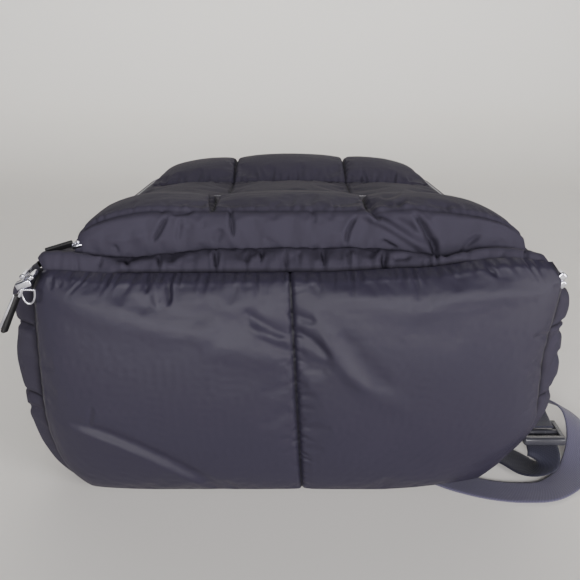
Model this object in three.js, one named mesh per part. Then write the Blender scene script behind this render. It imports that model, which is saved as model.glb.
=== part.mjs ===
// A quilted puffer backpack that lies on its back: the base faces -Y, the top +Y, and the front panel
// with its pocket faces up. All lengths are in millimetres. X is across the bag, with 0 on its middle
// plane. Y runs along the bag, and the helpers measure it from the base seam. Z is the height above the
// surface that the bag lies on.
import * as THREE from "three";

// The body, measured on the seam lines
const LENGTH = 383; // base seam to the front panel's top edge
const BASE_HALF_WIDTH = 136; // the front panel's edge at the base
const SIDE_TAPER = 20; // how far each edge comes in by the start of the shoulder
const SHOULDER_RADIUS = 75; // round corners at the top
const BASE_DEPTH = 138; // zip line above the surface at the base
const TOP_DEPTH = 124; // the same at the top, without the droop
const TOP_DROOP = 14; // how far the front's last stretch falls away
const DROOP_START = 0.76; // share of the length
const PANEL_CROWN = 4; // how far the front panel domes between its zips
const EDGE_SEAM = 2.5; // thickness of a padded panel at its seams
const SEAM_GAP = 0.3; // clearance between neighbouring pieces

// The side band, from the zip down to the back panel
const CORNER_RUN = 32; // rounded lower corner, inwards
const CORNER_RISE = 60; // rounded lower corner, upwards
const SIDE_BOW = 2;
const BAND_PUFF = 17; // how far a channel of the side band swells
const BAND_START = 24; // distance from the base seam at which the channels are full

// The quilting
const COLUMN_SEAM = 48; // the two long seams of the front, each side of the middle
const FRONT_PUFF = 14;
const MARGIN_PUFF = 9; // the narrow roll below the pocket
const BASE_PUFF = 19; // the two halves of the base panel
const BASE_CORNER_CUT = 3; // its upper corners stay clear of the zip's slider
const BASE_SEAM_LEAN = 7.4; // how far the base panel's middle seam leans to the right
const BACK_PADDING = 8;

// What the bag lies on: the base edge touches the surface, and the straps lift the rest
const STRAP_THICKNESS = 12;
const REST_FLAT = 36; // stretch next to the base that lies flat
const LIFT_END = 96; // from here on the back panel lies on the straps
const REST_MIDDLE = 18; // the origin is this far from the base seam

// The front pocket
const POCKET_START = 18;
const POCKET_LENGTH = 154;
const POCKET_MARGIN = 14; // between the pocket and the front panel's edge
const POCKET_CORNER = 40;
const POCKET_BASE_HEIGHT = 28;
const POCKET_TOP_HEIGHT = 6;
const POCKET_PUFF = 9;
const POCKET_EDGE = 12; // width of the rounded edge at the pocket's ends
const POCKET_SHOULDER = 58; // and at its sides, which rise slowly
const POCKET_WALL = 2.2;
const POCKET_END = POCKET_START + POCKET_LENGTH;

// Zips
const ZIP_FACE = 9; // width of the main zip's tape between the panels
const ZIP_DROP = 7; // the zip bridges this much across and down
const TAPE_THICKNESS = 1.6;
const CHAIN_WIDTH = 4.4;
const CHAIN_THICKNESS = 1.4;
const POCKET_TAPE_WIDTH = 6;
const POCKET_TAPE_THICKNESS = 1.1;
const POCKET_CHAIN_WIDTH = 2.8;

// Straps, webbing and buckles
const STRAP_WIDTH = 62;
const STRAP_END = 110; // its lower end, from the base seam
const STRAP_TOP_INSET = 33; // its upper end, from the front panel's top edge
const WEBBING_WIDTH = 20;
const WEBBING_THICKNESS = 1.4;
const BUCKLE_WIDTH = 27;
const BUCKLE_LENGTH = 24;
const BUCKLE_THICKNESS = 4.5;
const BUCKLE_BAR = 4;
const BUCKLE_SPOT = { x: BASE_HALF_WIDTH + 27, y: 35, z: 17 }; // the right one, beside the bag
const LEFT_BUCKLE_SPOT = { x: 31 - BASE_HALF_WIDTH, y: 95 }; // the left one, under the bag
const HANDLE_WIDTH = 22;
const HANDLE_THICKNESS = 4;
const HANDLE_HALF_SPAN = 30;
const HANDLE_START = LENGTH - 21; // along the back panel
const HANDLE_REACH = 48; // beyond the front panel's top edge

// Zip hardware
const SLIDER_LENGTH = 12;
const SLIDER_WIDTH = 8;
const SLIDER_THICKNESS = 3;
const SLIDER_START = -7; // the slider reaches this far over the base panel's corner
const STOP_START = 2;
const RING_RADIUS = 4.2;
const RING_WIRE = 1.3;
const TAB_LENGTH = 23;
const TAB_WIDTH = 8;
const TAB_THICKNESS = 2;
const STOP_LENGTH = 7;
const POCKET_TAB_LENGTH = 18;
const POCKET_SLIDER_LENGTH = 8;
const POCKET_SLIDER_WIDTH = 5.5;
const POCKET_SLIDER_THICKNESS = 2.4;

const COLOURS = {
  nylon: { color: 0x3f3c4a, roughness: 0.5, metalness: 0 },
  lining: { color: 0x2e2c36, roughness: 0.7, metalness: 0 },
  webbing: { color: 0x33323c, roughness: 0.6, metalness: 0 },
  tape: { color: 0x201f26, roughness: 0.8, metalness: 0 },
  plastic: { color: 0x1b1b20, roughness: 0.35, metalness: 0 },
  rubber: { color: 0x17171a, roughness: 0.5, metalness: 0 },
  steel: { color: 0xc9c9d2, roughness: 0.25, metalness: 1 },
};

// Quilting rows of the front panel, as shares of LENGTH: the two hidden ones lie below the pocket
const ROW_SEAMS = [0.39, 0.64, 0.888].map((share) => share * LENGTH);
const SHOULDER_START = LENGTH - SHOULDER_RADIUS;

// How far the upper edge of the base rises to the right, as shares of the half width and of the depth
const EDGE_RISE = [
  { at: -1, rise: 0.01 },
  { at: -0.7, rise: -0.004 },
  { at: 0.1, rise: 0 },
  { at: 0.5, rise: 0.015 },
  { at: 0.85, rise: 0.045 },
  { at: 1, rise: 0.02 },
];

// Channels of the side band: where each ends across the band, and how full it is
const BAND_CHANNELS = [
  { end: 0.24, fill: 0.85 },
  { end: 0.58, fill: 1 },
  { end: 1, fill: 0.55 },
];

const clamp = (v, low, high) => Math.min(Math.max(v, low), high);
const mix = (a, b, t) => a + (b - a) * t;
const smooth = (t) => {
  const c = clamp(t, 0, 1);
  return c * c * (3 - 2 * c);
};
const pillow = (t) => Math.sqrt(Math.max(4 * t * (1 - t), 0)); // 0 at both seams, 1 between them
const across = (rows, key, value, x) => {
  if (x <= rows[0][key]) return rows[0][value];
  for (let i = 1; i < rows.length; i++) {
    const [a, b] = [rows[i - 1], rows[i]];
    if (x <= b[key]) return mix(a[value], b[value], smooth((x - a[key]) / (b[key] - a[key])));
  }
  return rows[rows.length - 1][value];
};

// Half width of the front panel at y
function halfWidth(y) {
  const shoulder = BASE_HALF_WIDTH - SIDE_TAPER;
  if (y <= SHOULDER_START) return mix(BASE_HALF_WIDTH, shoulder, y / SHOULDER_START);
  const up = Math.min(y - SHOULDER_START, SHOULDER_RADIUS);
  return shoulder - SHOULDER_RADIUS + Math.sqrt(SHOULDER_RADIUS ** 2 - up ** 2);
}

function zipHeight(y) {
  const droop = TOP_DROOP * smooth((y / LENGTH - DROOP_START) / (1 - DROOP_START));
  return mix(BASE_DEPTH, TOP_DEPTH, y / LENGTH) - droop;
}

const restHeight = (y) =>
  (STRAP_THICKNESS + 2 * SEAM_GAP) * smooth((y - REST_FLAT) / (LIFT_END - REST_FLAT));

// How far the base's uneven upper edge lifts the front panel at a point
function edgeRise(x, y) {
  const rise = across(EDGE_RISE, "at", "rise", x / BASE_HALF_WIDTH);
  return BASE_DEPTH * rise * (1 - smooth(y / ROW_SEAMS[0]));
}

// The stations along one side that all the panels share, so that their edges stay parallel
const STATIONS = [
  ...[0, 1 / 3, 2 / 3].map((t) => POCKET_START * t),
  POCKET_START,
  ...[0, 0.25, 0.43, 0.62, 0.81, 1].map((t) => mix(BAND_START, ROW_SEAMS[0], t)),
  POCKET_END,
  ...[0.16, 0.37, 0.57, 0.79].map((t) => mix(POCKET_END, ROW_SEAMS[1], t)),
  ...[0, 0.2, 0.44, 0.7].map((t) => mix(ROW_SEAMS[1], SHOULDER_START, t)),
  ...[0, 0.5].map((t) => mix(SHOULDER_START, ROW_SEAMS[2], t)),
  ...[0, 0.25, 0.52, 0.77, 0.93, 1].map((t) => mix(ROW_SEAMS[2], LENGTH, t)),
];

// Edge point and outward direction at each station, from the left base corner round the top to the right one
function outline() {
  const tilt = Math.atan2(SIDE_TAPER, SHOULDER_START);
  const right = STATIONS.map((y) => {
    const x = halfWidth(y);
    if (y === 0) return { x, y, nx: 1, ny: 0 };
    const up = Math.asin(clamp((y - SHOULDER_START) / SHOULDER_RADIUS, 0, 1));
    const turn = y <= SHOULDER_START ? tilt : up;
    return { x, y, nx: Math.cos(turn), ny: Math.sin(turn) };
  });
  const left = right.map((p) => ({ ...p, x: -p.x, nx: -p.nx }));
  const topThird = halfWidth(LENGTH) / 3;
  const top = [-topThird, topThird].map((x) => ({ x, y: LENGTH, nx: 0, ny: 1 }));
  return [...left, ...top, ...right.reverse()];
}

// A closed solid from two grids of points that share their shape, one outside and one inside
function shell(outer, inner) {
  const rows = outer.length;
  const columns = outer[0].length;
  const positions = [...outer, ...inner].flat(2);
  const at = (layer, i, j) => layer * rows * columns + i * columns + j;
  const index = [];
  const quad = (a, b, c, d) => index.push(a, b, c, a, c, d);
  for (let i = 0; i + 1 < rows; i++) {
    for (let j = 0; j + 1 < columns; j++) {
      quad(at(0, i, j), at(0, i, j + 1), at(0, i + 1, j + 1), at(0, i + 1, j));
      quad(at(1, i, j), at(1, i + 1, j), at(1, i + 1, j + 1), at(1, i, j + 1));
    }
  }
  for (let j = 0; j + 1 < columns; j++) {
    quad(at(0, 0, j), at(1, 0, j), at(1, 0, j + 1), at(0, 0, j + 1));
    quad(at(0, rows - 1, j + 1), at(1, rows - 1, j + 1), at(1, rows - 1, j), at(0, rows - 1, j));
  }
  for (let i = 0; i + 1 < rows; i++) {
    quad(at(0, i + 1, 0), at(1, i + 1, 0), at(1, i, 0), at(0, i, 0));
    quad(at(0, i, columns - 1), at(1, i, columns - 1), at(1, i + 1, columns - 1), at(0, i + 1, columns - 1));
  }
  return solid(positions, index);
}

// A closed solid through rings of points, with flat ends
function loft(rings) {
  const sides = rings[0].length;
  const positions = rings.flat(2);
  const index = [];
  for (let i = 0; i + 1 < rings.length; i++) {
    for (let j = 0; j < sides; j++) {
      const [a, b] = [i * sides + j, i * sides + ((j + 1) % sides)];
      index.push(a, b, b + sides, a, b + sides, a + sides);
    }
  }
  const last = (rings.length - 1) * sides;
  for (let j = 1; j + 1 < sides; j++) index.push(0, j + 1, j, last, last + j, last + j + 1);
  return solid(positions, index);
}

// An indexed geometry whose faces point out
function solid(positions, index) {
  const corner = (k) => new THREE.Vector3().fromArray(positions, 3 * index[k]);
  const volume = (k) => corner(k).dot(corner(k + 1).cross(corner(k + 2)));
  let total = 0;
  for (let k = 0; k < index.length; k += 3) total += volume(k);
  const faces = total < 0 ? index.map((_, k) => index[k - (k % 3) + (2 - (k % 3))]) : index;
  const geometry = new THREE.BufferGeometry();
  geometry.setAttribute("position", new THREE.Float32BufferAttribute(positions, 3));
  geometry.setIndex(faces);
  geometry.computeVertexNormals();
  return geometry;
}

// The underside of the front panel
function frontBase(x, y) {
  const crown = PANEL_CROWN * smooth(y / ROW_SEAMS[0]) * (1 - (x / halfWidth(y)) ** 2);
  return zipHeight(y) + crown + edgeRise(x, y);
}

// Half width of the pocket at y, counted from the base seam
function pocketHalfWidth(y) {
  const up = clamp(y - (POCKET_END - POCKET_CORNER), 0, POCKET_CORNER);
  return halfWidth(y) - POCKET_MARGIN - POCKET_CORNER + Math.sqrt(POCKET_CORNER ** 2 - up ** 2);
}

// How far a point is outside the pocket's outline, negative inside it
function outsidePocket(x, y) {
  const side = Math.abs(x) - (halfWidth(y) - POCKET_MARGIN - POCKET_CORNER);
  const end = y - (POCKET_END - POCKET_CORNER);
  if (side > 0 && end > 0) return Math.hypot(side, end) - POCKET_CORNER;
  return Math.max(side - POCKET_CORNER, end - POCKET_CORNER, POCKET_START - y);
}

// Columns of points from edge to edge: some at set distances from the edge, then the long seam and the middle
function columns(half, edges) {
  const seam = longSeam(half);
  const squeeze = Math.min(1, (half - seam) / (BASE_HALF_WIDTH - SIDE_TAPER - COLUMN_SEAM));
  const last = half - edges[edges.length - 1] * squeeze;
  const side = [
    ...edges.map((d) => half - d * squeeze),
    ...[0.25, 0.6, 0.86].map((t) => mix(last, seam, t)),
    seam,
    ...[0.86, 0.6, 0.25].map((t) => seam * t),
  ];
  return [...side.map((x) => -x), 0, ...side.reverse()];
}

const longSeam = (half) => Math.min(COLUMN_SEAM, half * 0.7);

// Share of the height of a puff at x, in three columns
function columnPuff(x, half) {
  const seam = longSeam(half);
  if (Math.abs(x) <= seam) return pillow((x / seam + 1) / 2);
  return pillow(clamp((Math.abs(x) - seam) / (half - seam), 0, 1));
}

const rowShare = (y, seams) => {
  const k = seams.findIndex((s) => y <= s + 1e-6);
  return k <= 0 ? 0 : (y - seams[k - 1]) / (seams[k] - seams[k - 1]);
};

// Three columns of puffs over the whole front, flat where the pocket lies on it
function frontPanel() {
  const seams = [0, POCKET_START, ...ROW_SEAMS, LENGTH];
  const edges = [0, ...[0, 0.42, 1].map((t) => POCKET_MARGIN + t * POCKET_EDGE)];
  const grid = (height) =>
    STATIONS.map((y) =>
      columns(halfWidth(y), edges).map((x) => [x, y, frontBase(x, y) + height(x, y)]),
    );
  const puff = (x, y) => {
    const half = halfWidth(y);
    const row = pillow(rowShare(y, seams));
    if (y < POCKET_START) return MARGIN_PUFF * row * Math.sqrt(pillow((x / half + 1) / 2));
    const open = smooth((outsidePocket(x, y) - 3 * POCKET_TAPE_WIDTH) / POCKET_EDGE);
    return FRONT_PUFF * row * columnPuff(x, half) * open;
  };
  return shell(
    grid((x, y) => EDGE_SEAM + puff(x, y)),
    grid(() => 0),
  );
}

// Cross-section of the side band at y: outward offset from the front panel's edge, and height
function bandSection(t, y) {
  const high = zipHeight(y) - ZIP_DROP - SEAM_GAP;
  const low = restHeight(y);
  const straight = 0.48;
  const wall = ZIP_DROP + SIDE_BOW * Math.sin(Math.PI * Math.min(t / straight, 1) * 0.5);
  if (t <= straight) return { out: wall, z: mix(high, low + CORNER_RISE, t / straight) };
  const turn = ((t - straight) / (1 - straight)) * (Math.PI / 2);
  return {
    out: wall - CORNER_RUN * (1 - Math.cos(turn)),
    z: low + CORNER_RISE * (1 - Math.sin(turn)),
  };
}

// The side band runs up one side, over the top and down the other, in three channels
function sideBand() {
  const cuts = [0, 0.08, 0.16, 0.24, 0.35, 0.47, 0.58, 0.72, 0.86, 1];
  const line = outline();
  const grid = (swell) =>
    line.map((p) =>
      cuts.map((t) => {
        const here = bandSection(t, p.y);
        const before = bandSection(Math.max(t - 0.01, 0), p.y);
        const after = bandSection(Math.min(t + 0.01, 1), p.y);
        const [dOut, dZ] = [after.out - before.out, after.z - before.z];
        const size = Math.hypot(dOut, dZ);
        const push = swell(t, p.y);
        const out = here.out - (dZ / size) * push;
        const z = Math.max(here.z + (dOut / size) * push, restHeight(p.y));
        return [p.x + p.nx * out, p.y + p.ny * out, z];
      }),
    );
  const starts = [0, ...BAND_CHANNELS.map((c) => c.end)];
  const swell = (t, y) => {
    const k = BAND_CHANNELS.findIndex((c) => t <= c.end + 1e-6);
    const share = clamp((t - starts[k]) / (starts[k + 1] - starts[k]), 0, 1);
    return BAND_PUFF * BAND_CHANNELS[k].fill * pillow(share) * Math.sqrt(smooth(y / BAND_START));
  };
  const lining = line.map((p) =>
    cuts.map((t) => {
      const here = bandSection(t, p.y);
      const under = smooth((t - 0.4) / 0.6);
      const out = here.out - EDGE_SEAM * (1 - under);
      const z = here.z + EDGE_SEAM * under;
      return [p.x + p.nx * out, p.y + p.ny * out, z];
    }),
  );
  return shell(grid(swell), lining);
}

// Half width of the base panel at height z: it closes the ends of the front, the zip, the band and the back
function baseHalfWidth(z) {
  const edge = BASE_DEPTH - ZIP_DROP;
  const wall = BASE_HALF_WIDTH + ZIP_DROP;
  const cut = ZIP_DROP + BASE_CORNER_CUT;
  if (z >= edge) return wall - (cut * (z - edge)) / (ZIP_DROP + EDGE_SEAM);
  const bow = SIDE_BOW * Math.sin((Math.PI / 2) * clamp((edge - z) / (edge - CORNER_RISE), 0, 1));
  const fall = clamp(1 - z / CORNER_RISE, 0, 1);
  return wall + bow - CORNER_RUN * (1 - Math.sqrt(1 - fall ** 2));
}

// Two padded halves with a leaning seam between them
function basePanel() {
  const cells = 18;
  const levels = [0, 0.02, 0.055, 0.115, 0.2, 0.32, 0.44, 0.57, 0.7, 0.81, 0.91, 0.96, 1];
  const height = BASE_DEPTH + EDGE_SEAM;
  const grid = (depth) =>
    levels.map((level) =>
      Array.from({ length: cells + 1 }, (_, j) => {
        const t = (2 * j) / cells - 1;
        const half = baseHalfWidth(level * height);
        const seam = BASE_SEAM_LEAN * (1 - level);
        const x = t < 0 ? mix(seam, -half, -t) : mix(seam, half, t);
        return [x, -depth(Math.abs(t), level), level * height + edgeRise(x, 0) * level];
      }),
    );
  const bulge = (t, level) => pillow(mix(0.04, 1, t)) ** 0.8 * pillow(level) ** 1.1;
  return shell(
    grid((t, level) => SEAM_GAP + EDGE_SEAM + BASE_PUFF * bulge(t, level)),
    grid((t, level) => SEAM_GAP + 0.5 * BASE_PUFF * bulge(t, level)),
  );
}

// A padded back panel: flat next to the base, then lifted by the straps below it
function backPanel() {
  const shares = [-1, -0.8, -0.4, 0, 0.4, 0.8, 1];
  const inset = CORNER_RUN - ZIP_DROP - SIDE_BOW + SEAM_GAP;
  const right = outline().slice(-STATIONS.length).reverse();
  const grid = (height) =>
    right.map((p) => {
      const half = p.x - p.nx * inset;
      const y = p.y - p.ny * inset;
      return shares.map((t) => [t * half, p.y === 0 ? 0 : y, restHeight(p.y) + height(t, p.y)]);
    });
  return shell(
    grid((t, y) => EDGE_SEAM + BACK_PADDING * Math.sqrt(pillow((t + 1) / 2) * pillow(y / LENGTH))),
    grid(() => 0),
  );
}

// A strip that follows the body's outline: its section is a list of [outward, up] corners
function outlineStrip(corners, shift, [startLeft, startRight] = [0, 0]) {
  const line = outline();
  const trim = (points, start) => {
    const rest = points.filter((p) => p.y > start);
    const x = Math.sign(points[0].x) * halfWidth(start);
    return [{ ...points[0], x, y: start }, ...rest];
  };
  const half = line.length / 2;
  const left = trim(line.slice(0, half), startLeft);
  const right = trim(line.slice(half).reverse(), startRight).reverse();
  return loft(
    [...left, ...right].map((p) => {
      const [out, up] = shift(p.y);
      return corners.map(([dOut, dUp]) => [
        p.x + p.nx * (out + dOut),
        p.y + p.ny * (out + dOut),
        up + dUp,
      ]);
    }),
  );
}

// Corners of a flat strip that leans 45 degrees over the edge of the bag, lifted off the chamfer
function chamferStrip(width, thickness, lift) {
  const k = Math.SQRT1_2;
  const corner = (along, off) => [k * (along + off), k * (off - along)];
  return [
    corner(-width / 2, lift + thickness / 2),
    corner(width / 2, lift + thickness / 2),
    corner(width / 2, lift - thickness / 2),
    corner(-width / 2, lift - thickness / 2),
  ];
}

const zipCentre = (y) => [ZIP_DROP / 2 + 0.2, zipHeight(y) - ZIP_DROP / 2 + 0.1];
const CHAIN_ENDS = [SLIDER_START + SLIDER_LENGTH + 0.5, STOP_START + STOP_LENGTH + 0.5];
const chainLift = TAPE_THICKNESS / 2 + SEAM_GAP + CHAIN_THICKNESS / 2;

// A low shell over the lower front, in three columns, open towards the front panel
function pocket() {
  const end = POCKET_END;
  const seams = [POCKET_START, mix(POCKET_START, end, 0.5), end];
  const edges = [0, 0.1, 0.42, 1].map((t) => t * POCKET_EDGE);
  const middle = seams[1];
  const rows = [
    ...edges.map((d) => POCKET_START + d),
    ...[0.3, 0.6, 0.85].map((t) => mix(POCKET_START + POCKET_EDGE, middle, t)),
    middle,
    ...[0.2, 0.45, 0.7].map((t) => mix(middle, end - POCKET_CORNER / 2, t)),
    ...[2.17, 1.42, 1, 0.42, 0.1, 0].map((t) => end - t * POCKET_EDGE),
  ];
  const rise = (d, width) => Math.sqrt(1 - (1 - clamp(d / width, 0, 1)) ** 2);
  const rim = EDGE_SEAM + 2 * SEAM_GAP;
  const grid = (wall) =>
    rows.map((y) => {
      const half = pocketHalfWidth(y);
      return columns(half, edges).map((x) => {
        const side = rise(half - Math.abs(x), POCKET_SHOULDER);
        const up = side * rise(Math.min(y - POCKET_START, end - y), POCKET_EDGE);
        const share = (y - POCKET_START) / POCKET_LENGTH;
        const face = mix(POCKET_BASE_HEIGHT, POCKET_TOP_HEIGHT, share);
        const puff = POCKET_PUFF * columnPuff(x, half) * pillow(rowShare(y, seams)) * mix(1, 0.5, share);
        const shrink = 1 - wall / half;
        const yIn = clamp(y, POCKET_START + wall, end - wall);
        const top = Math.max(up * (face - edgeRise(x, y)) - wall, 0);
        const lift = wall > 0 ? top : top + puff * up;
        return [x * shrink, yIn, frontBase(x, y) + rim + lift];
      });
    });
  return shell(grid(0), grid(POCKET_WALL));
}

// A strip that lies on the front panel round three sides of the pocket
function pocketStrip(width, thickness, lift, start) {
  const end = POCKET_END;
  const corner = 8;
  const side = [0, 0.3, 0.62, 1].map((t) => mix(start, end - POCKET_CORNER, t));
  const turn = Array.from({ length: corner }, (_, k) => ((k + 1) / corner) * (Math.PI / 2));
  const centre = halfWidth(end) - POCKET_MARGIN - POCKET_CORNER;
  const bend = pocketHalfWidth(end - POCKET_CORNER) - centre;
  const offset = SEAM_GAP + POCKET_TAPE_WIDTH / 2;
  const right = [
    ...side.map((y) => ({ x: pocketHalfWidth(y), y, nx: 1, ny: 0 })),
    ...turn.map((a) => ({
      x: centre + bend * Math.cos(a),
      y: end - POCKET_CORNER + POCKET_CORNER * Math.sin(a),
      nx: Math.cos(a),
      ny: Math.sin(a),
    })),
  ];
  const left = right.map((p) => ({ ...p, x: -p.x, nx: -p.nx }));
  const top = [-0.75, -0.5, -0.25, 0, 0.25, 0.5, 0.75].map((t) => ({ x: t * centre, y: end, nx: 0, ny: 1 }));
  return loft(
    [...left, ...top, ...right.reverse()].map((p) =>
      [
        [-width / 2, thickness],
        [width / 2, thickness],
        [width / 2, 0],
        [-width / 2, 0],
      ].map(([side_, up]) => {
        const out = offset + side_;
        const x = p.x + p.nx * out;
        const y = p.y + p.ny * out;
        return [x, y, frontBase(x, y) + EDGE_SEAM + lift + up];
      }),
    ),
  );
}

// A flat strip through stations {x, y, z, lean}: lean turns its width from level (0) to upright (90)
function ribbon(path, width, thickness) {
  const point = (p) => new THREE.Vector3(p.x, p.y, p.z);
  const rings = path.map((p, i) => {
    const [before, after] = [path[Math.max(i - 1, 0)], path[Math.min(i + 1, path.length - 1)]];
    const along = point(after).sub(point(before)).normalize();
    const level = new THREE.Vector3(along.y, -along.x, 0).normalize();
    const upright = new THREE.Vector3().crossVectors(level, along).normalize();
    const lean = THREE.MathUtils.degToRad(p.lean ?? 0);
    const wide = level.clone().multiplyScalar(Math.cos(lean)).addScaledVector(upright, Math.sin(lean));
    const thick = new THREE.Vector3().crossVectors(along, wide).normalize();
    const corner = (w, t) =>
      point(p)
        .addScaledVector(wide, (w * width) / 2)
        .addScaledVector(thick, (t * thickness) / 2)
        .toArray();
    return [corner(-1, -1), corner(1, -1), corner(1, 1), corner(-1, 1)];
  });
  return loft(rings);
}

// Evenly spaced stations on a smooth curve through hand-picked ones
function smoothPath(path, steps) {
  const points = path.map((p) => new THREE.Vector3(p.x, p.y, p.z));
  const curve = new THREE.CatmullRomCurve3(points, false, "centripetal");
  return Array.from({ length: steps + 1 }, (_, i) => {
    const t = (i / steps) * (path.length - 1);
    const k = Math.min(Math.floor(t), path.length - 2);
    const at = curve.getPoint(i / steps);
    return { x: at.x, y: at.y, z: at.z, lean: mix(path[k].lean, path[k + 1].lean, smooth(t - k)) };
  });
}

// Padded shoulder strap, flat on the surface below the back panel: along is the share of the way from
// its lower end to the upper one, inset the distance from the base's edge, and share its width
const STRAP_LINE = [
  { along: 1, inset: 94, share: 0.8 },
  { along: 0.925, inset: 90, share: 1 },
  { along: 0.75, inset: 78, share: 1 },
  { along: 0.583, inset: 64, share: 1 },
  { along: 0.375, inset: 52, share: 1 },
  { along: 0.208, inset: 43, share: 0.92 },
  { along: 0.083, inset: 37, share: 0.78 },
  { along: 0, inset: 33, share: 0.64 },
].map(({ along, inset, share }) => ({
  x: BASE_HALF_WIDTH - inset,
  y: mix(STRAP_END, LENGTH - STRAP_TOP_INSET, along),
  share,
}));

function strap(side) {
  const rings = STRAP_LINE.map((p, i) => {
    const half = (STRAP_WIDTH * p.share) / 2;
    const [a, b] = [STRAP_LINE[Math.max(i - 1, 0)], STRAP_LINE[Math.min(i + 1, STRAP_LINE.length - 1)]];
    const turn = Math.atan2(b.x - a.x, a.y - b.y);
    const corner = (w, z) => [side * (p.x + w * half * Math.cos(turn)), p.y + w * half * Math.sin(turn), z];
    const t = STRAP_THICKNESS;
    return [
      corner(-0.9, 0),
      corner(0.9, 0),
      corner(1, t * 0.25),
      corner(0.97, t * 0.7),
      corner(0.7, t),
      corner(-0.7, t),
      corner(-0.97, t * 0.7),
      corner(-1, t * 0.25),
    ];
  });
  return loft(rings);
}

// A ladder-lock buckle: a flat frame with three bars
function buckle() {
  const w = BUCKLE_WIDTH / 2;
  const l = BUCKLE_LENGTH / 2;
  const frame = new THREE.Shape([
    new THREE.Vector2(-w, -l),
    new THREE.Vector2(w, -l),
    new THREE.Vector2(w * 0.94, l),
    new THREE.Vector2(-w * 0.94, l),
  ]);
  const slotWidth = w - BUCKLE_BAR * 0.8;
  const slot = (BUCKLE_LENGTH - 3 * BUCKLE_BAR) / 2;
  for (const low of [-l + BUCKLE_BAR, BUCKLE_BAR / 2]) {
    frame.holes.push(
      new THREE.Path([
        new THREE.Vector2(-slotWidth, low),
        new THREE.Vector2(-slotWidth, low + slot),
        new THREE.Vector2(slotWidth, low + slot),
        new THREE.Vector2(slotWidth, low),
      ]),
    );
  }
  return new THREE.ExtrudeGeometry(frame, { depth: BUCKLE_THICKNESS, bevelEnabled: false }).translate(
    0,
    0,
    -BUCKLE_THICKNESS / 2,
  );
}

// A flat bar between two points, with cut corners: across is the direction of its width
function bar(from, to, across, width, thickness) {
  const [a, b, side] = [from, to, across].map((v) => new THREE.Vector3(...v));
  const along = b.clone().sub(a).normalize();
  const wide = side.addScaledVector(along, -side.dot(along)).normalize();
  const thick = new THREE.Vector3().crossVectors(along, wide);
  const cut = 0.3;
  const ring = (centre, size) =>
    [
      [-1, 1 - cut],
      [cut - 1, 1],
      [1 - cut, 1],
      [1, 1 - cut],
      [1, cut - 1],
      [1 - cut, -1],
      [cut - 1, -1],
      [-1, cut - 1],
    ].map(([w, t]) =>
      centre
        .clone()
        .addScaledVector(wide, (w * width * size) / 2)
        .addScaledVector(thick, (t * thickness) / 2)
        .toArray(),
    );
  const length = a.distanceTo(b);
  const at = (d) => a.clone().addScaledVector(along, d);
  const end = Math.min(width * 0.2, length / 4);
  return loft([ring(at(0), 0.7), ring(at(end), 1), ring(at(length - end), 1), ring(at(length), 0.7)]);
}

function piece(name, geometry, material) {
  const mesh = new THREE.Mesh(geometry, new THREE.MeshStandardMaterial(COLOURS[material]));
  mesh.name = name;
  return mesh;
}

// Point on the zip's slanted tape: off is its distance from the tape's middle plane
function onZip(side, y, off) {
  const [out, up] = zipCentre(y);
  const k = Math.SQRT1_2 * off;
  return [side * (halfWidth(y) + out + k), y, up + k];
}

const zipSide = (side) => [side * Math.SQRT1_2, 0, -Math.SQRT1_2];

// The main zip's slider at the left end: a body with a bridge that the pull's ring goes through
function mainSlider() {
  const lift = TAPE_THICKNESS / 2 + SEAM_GAP + SLIDER_THICKNESS / 2;
  const [from, to] = [SLIDER_START, SLIDER_START + SLIDER_LENGTH].map((y) => onZip(-1, y, lift));
  return bar(from, to, zipSide(-1), SLIDER_WIDTH, SLIDER_THICKNESS);
}

function zipStop() {
  const lift = TAPE_THICKNESS / 2 + SEAM_GAP + SLIDER_THICKNESS / 2;
  const [from, to] = [STOP_START, STOP_START + STOP_LENGTH].map((y) => onZip(1, y, lift));
  return bar(from, to, zipSide(1), SLIDER_WIDTH * 0.8, SLIDER_THICKNESS);
}

// The ring and the tab hang down from the slider's nose, in front of the base panel's corner
const ringCentre = (() => {
  const lift = TAPE_THICKNESS / 2 + SEAM_GAP + SLIDER_THICKNESS / 2;
  const [x, y, z] = onZip(-1, SLIDER_START, lift);
  return [x + 1, y - RING_WIRE / 2 - SEAM_GAP, z - RING_RADIUS - 1.5];
})();

function pullRing() {
  const ring = new THREE.TorusGeometry(RING_RADIUS, RING_WIRE / 2, 6, 20);
  return ring.rotateX(Math.PI / 2).translate(...ringCentre);
}

function pullTab() {
  const [x, y, z] = ringCentre;
  const start = [x - RING_RADIUS - RING_WIRE / 2 - 3 * SEAM_GAP, y - 0.6, z - 1];
  const hang = [-0.4, -0.12, -0.91];
  const end = start.map((v, k) => v + TAB_LENGTH * hang[k]);
  return bar(start, end, [0.55, -0.8, 0], TAB_WIDTH, TAB_THICKNESS);
}

// The pocket's slider at its left corner, with a flat tab that lies across the tape
const pocketCorner = {
  x: -(pocketHalfWidth(POCKET_START) + SEAM_GAP + POCKET_TAPE_WIDTH / 2),
  y: POCKET_START + POCKET_TAPE_WIDTH,
};
const tapeTop = (x, y) => frontBase(x, y) + EDGE_SEAM + POCKET_TAPE_THICKNESS + 2 * SEAM_GAP;

function pocketSlider() {
  const { x, y } = pocketCorner;
  const z = tapeTop(x, y) + POCKET_SLIDER_THICKNESS / 2;
  const end = y + POCKET_SLIDER_LENGTH;
  const [a, b] = [
    [x, y, z],
    [x, end, tapeTop(x, end) + POCKET_SLIDER_THICKNESS / 2],
  ];
  return bar(a, b, [1, 0, 0], POCKET_SLIDER_WIDTH, POCKET_SLIDER_THICKNESS);
}

function pocketChain() {
  const start = pocketCorner.y + POCKET_SLIDER_LENGTH + 0.5;
  return pocketStrip(POCKET_CHAIN_WIDTH, CHAIN_THICKNESS, POCKET_TAPE_THICKNESS + 2 * SEAM_GAP, start);
}

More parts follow.
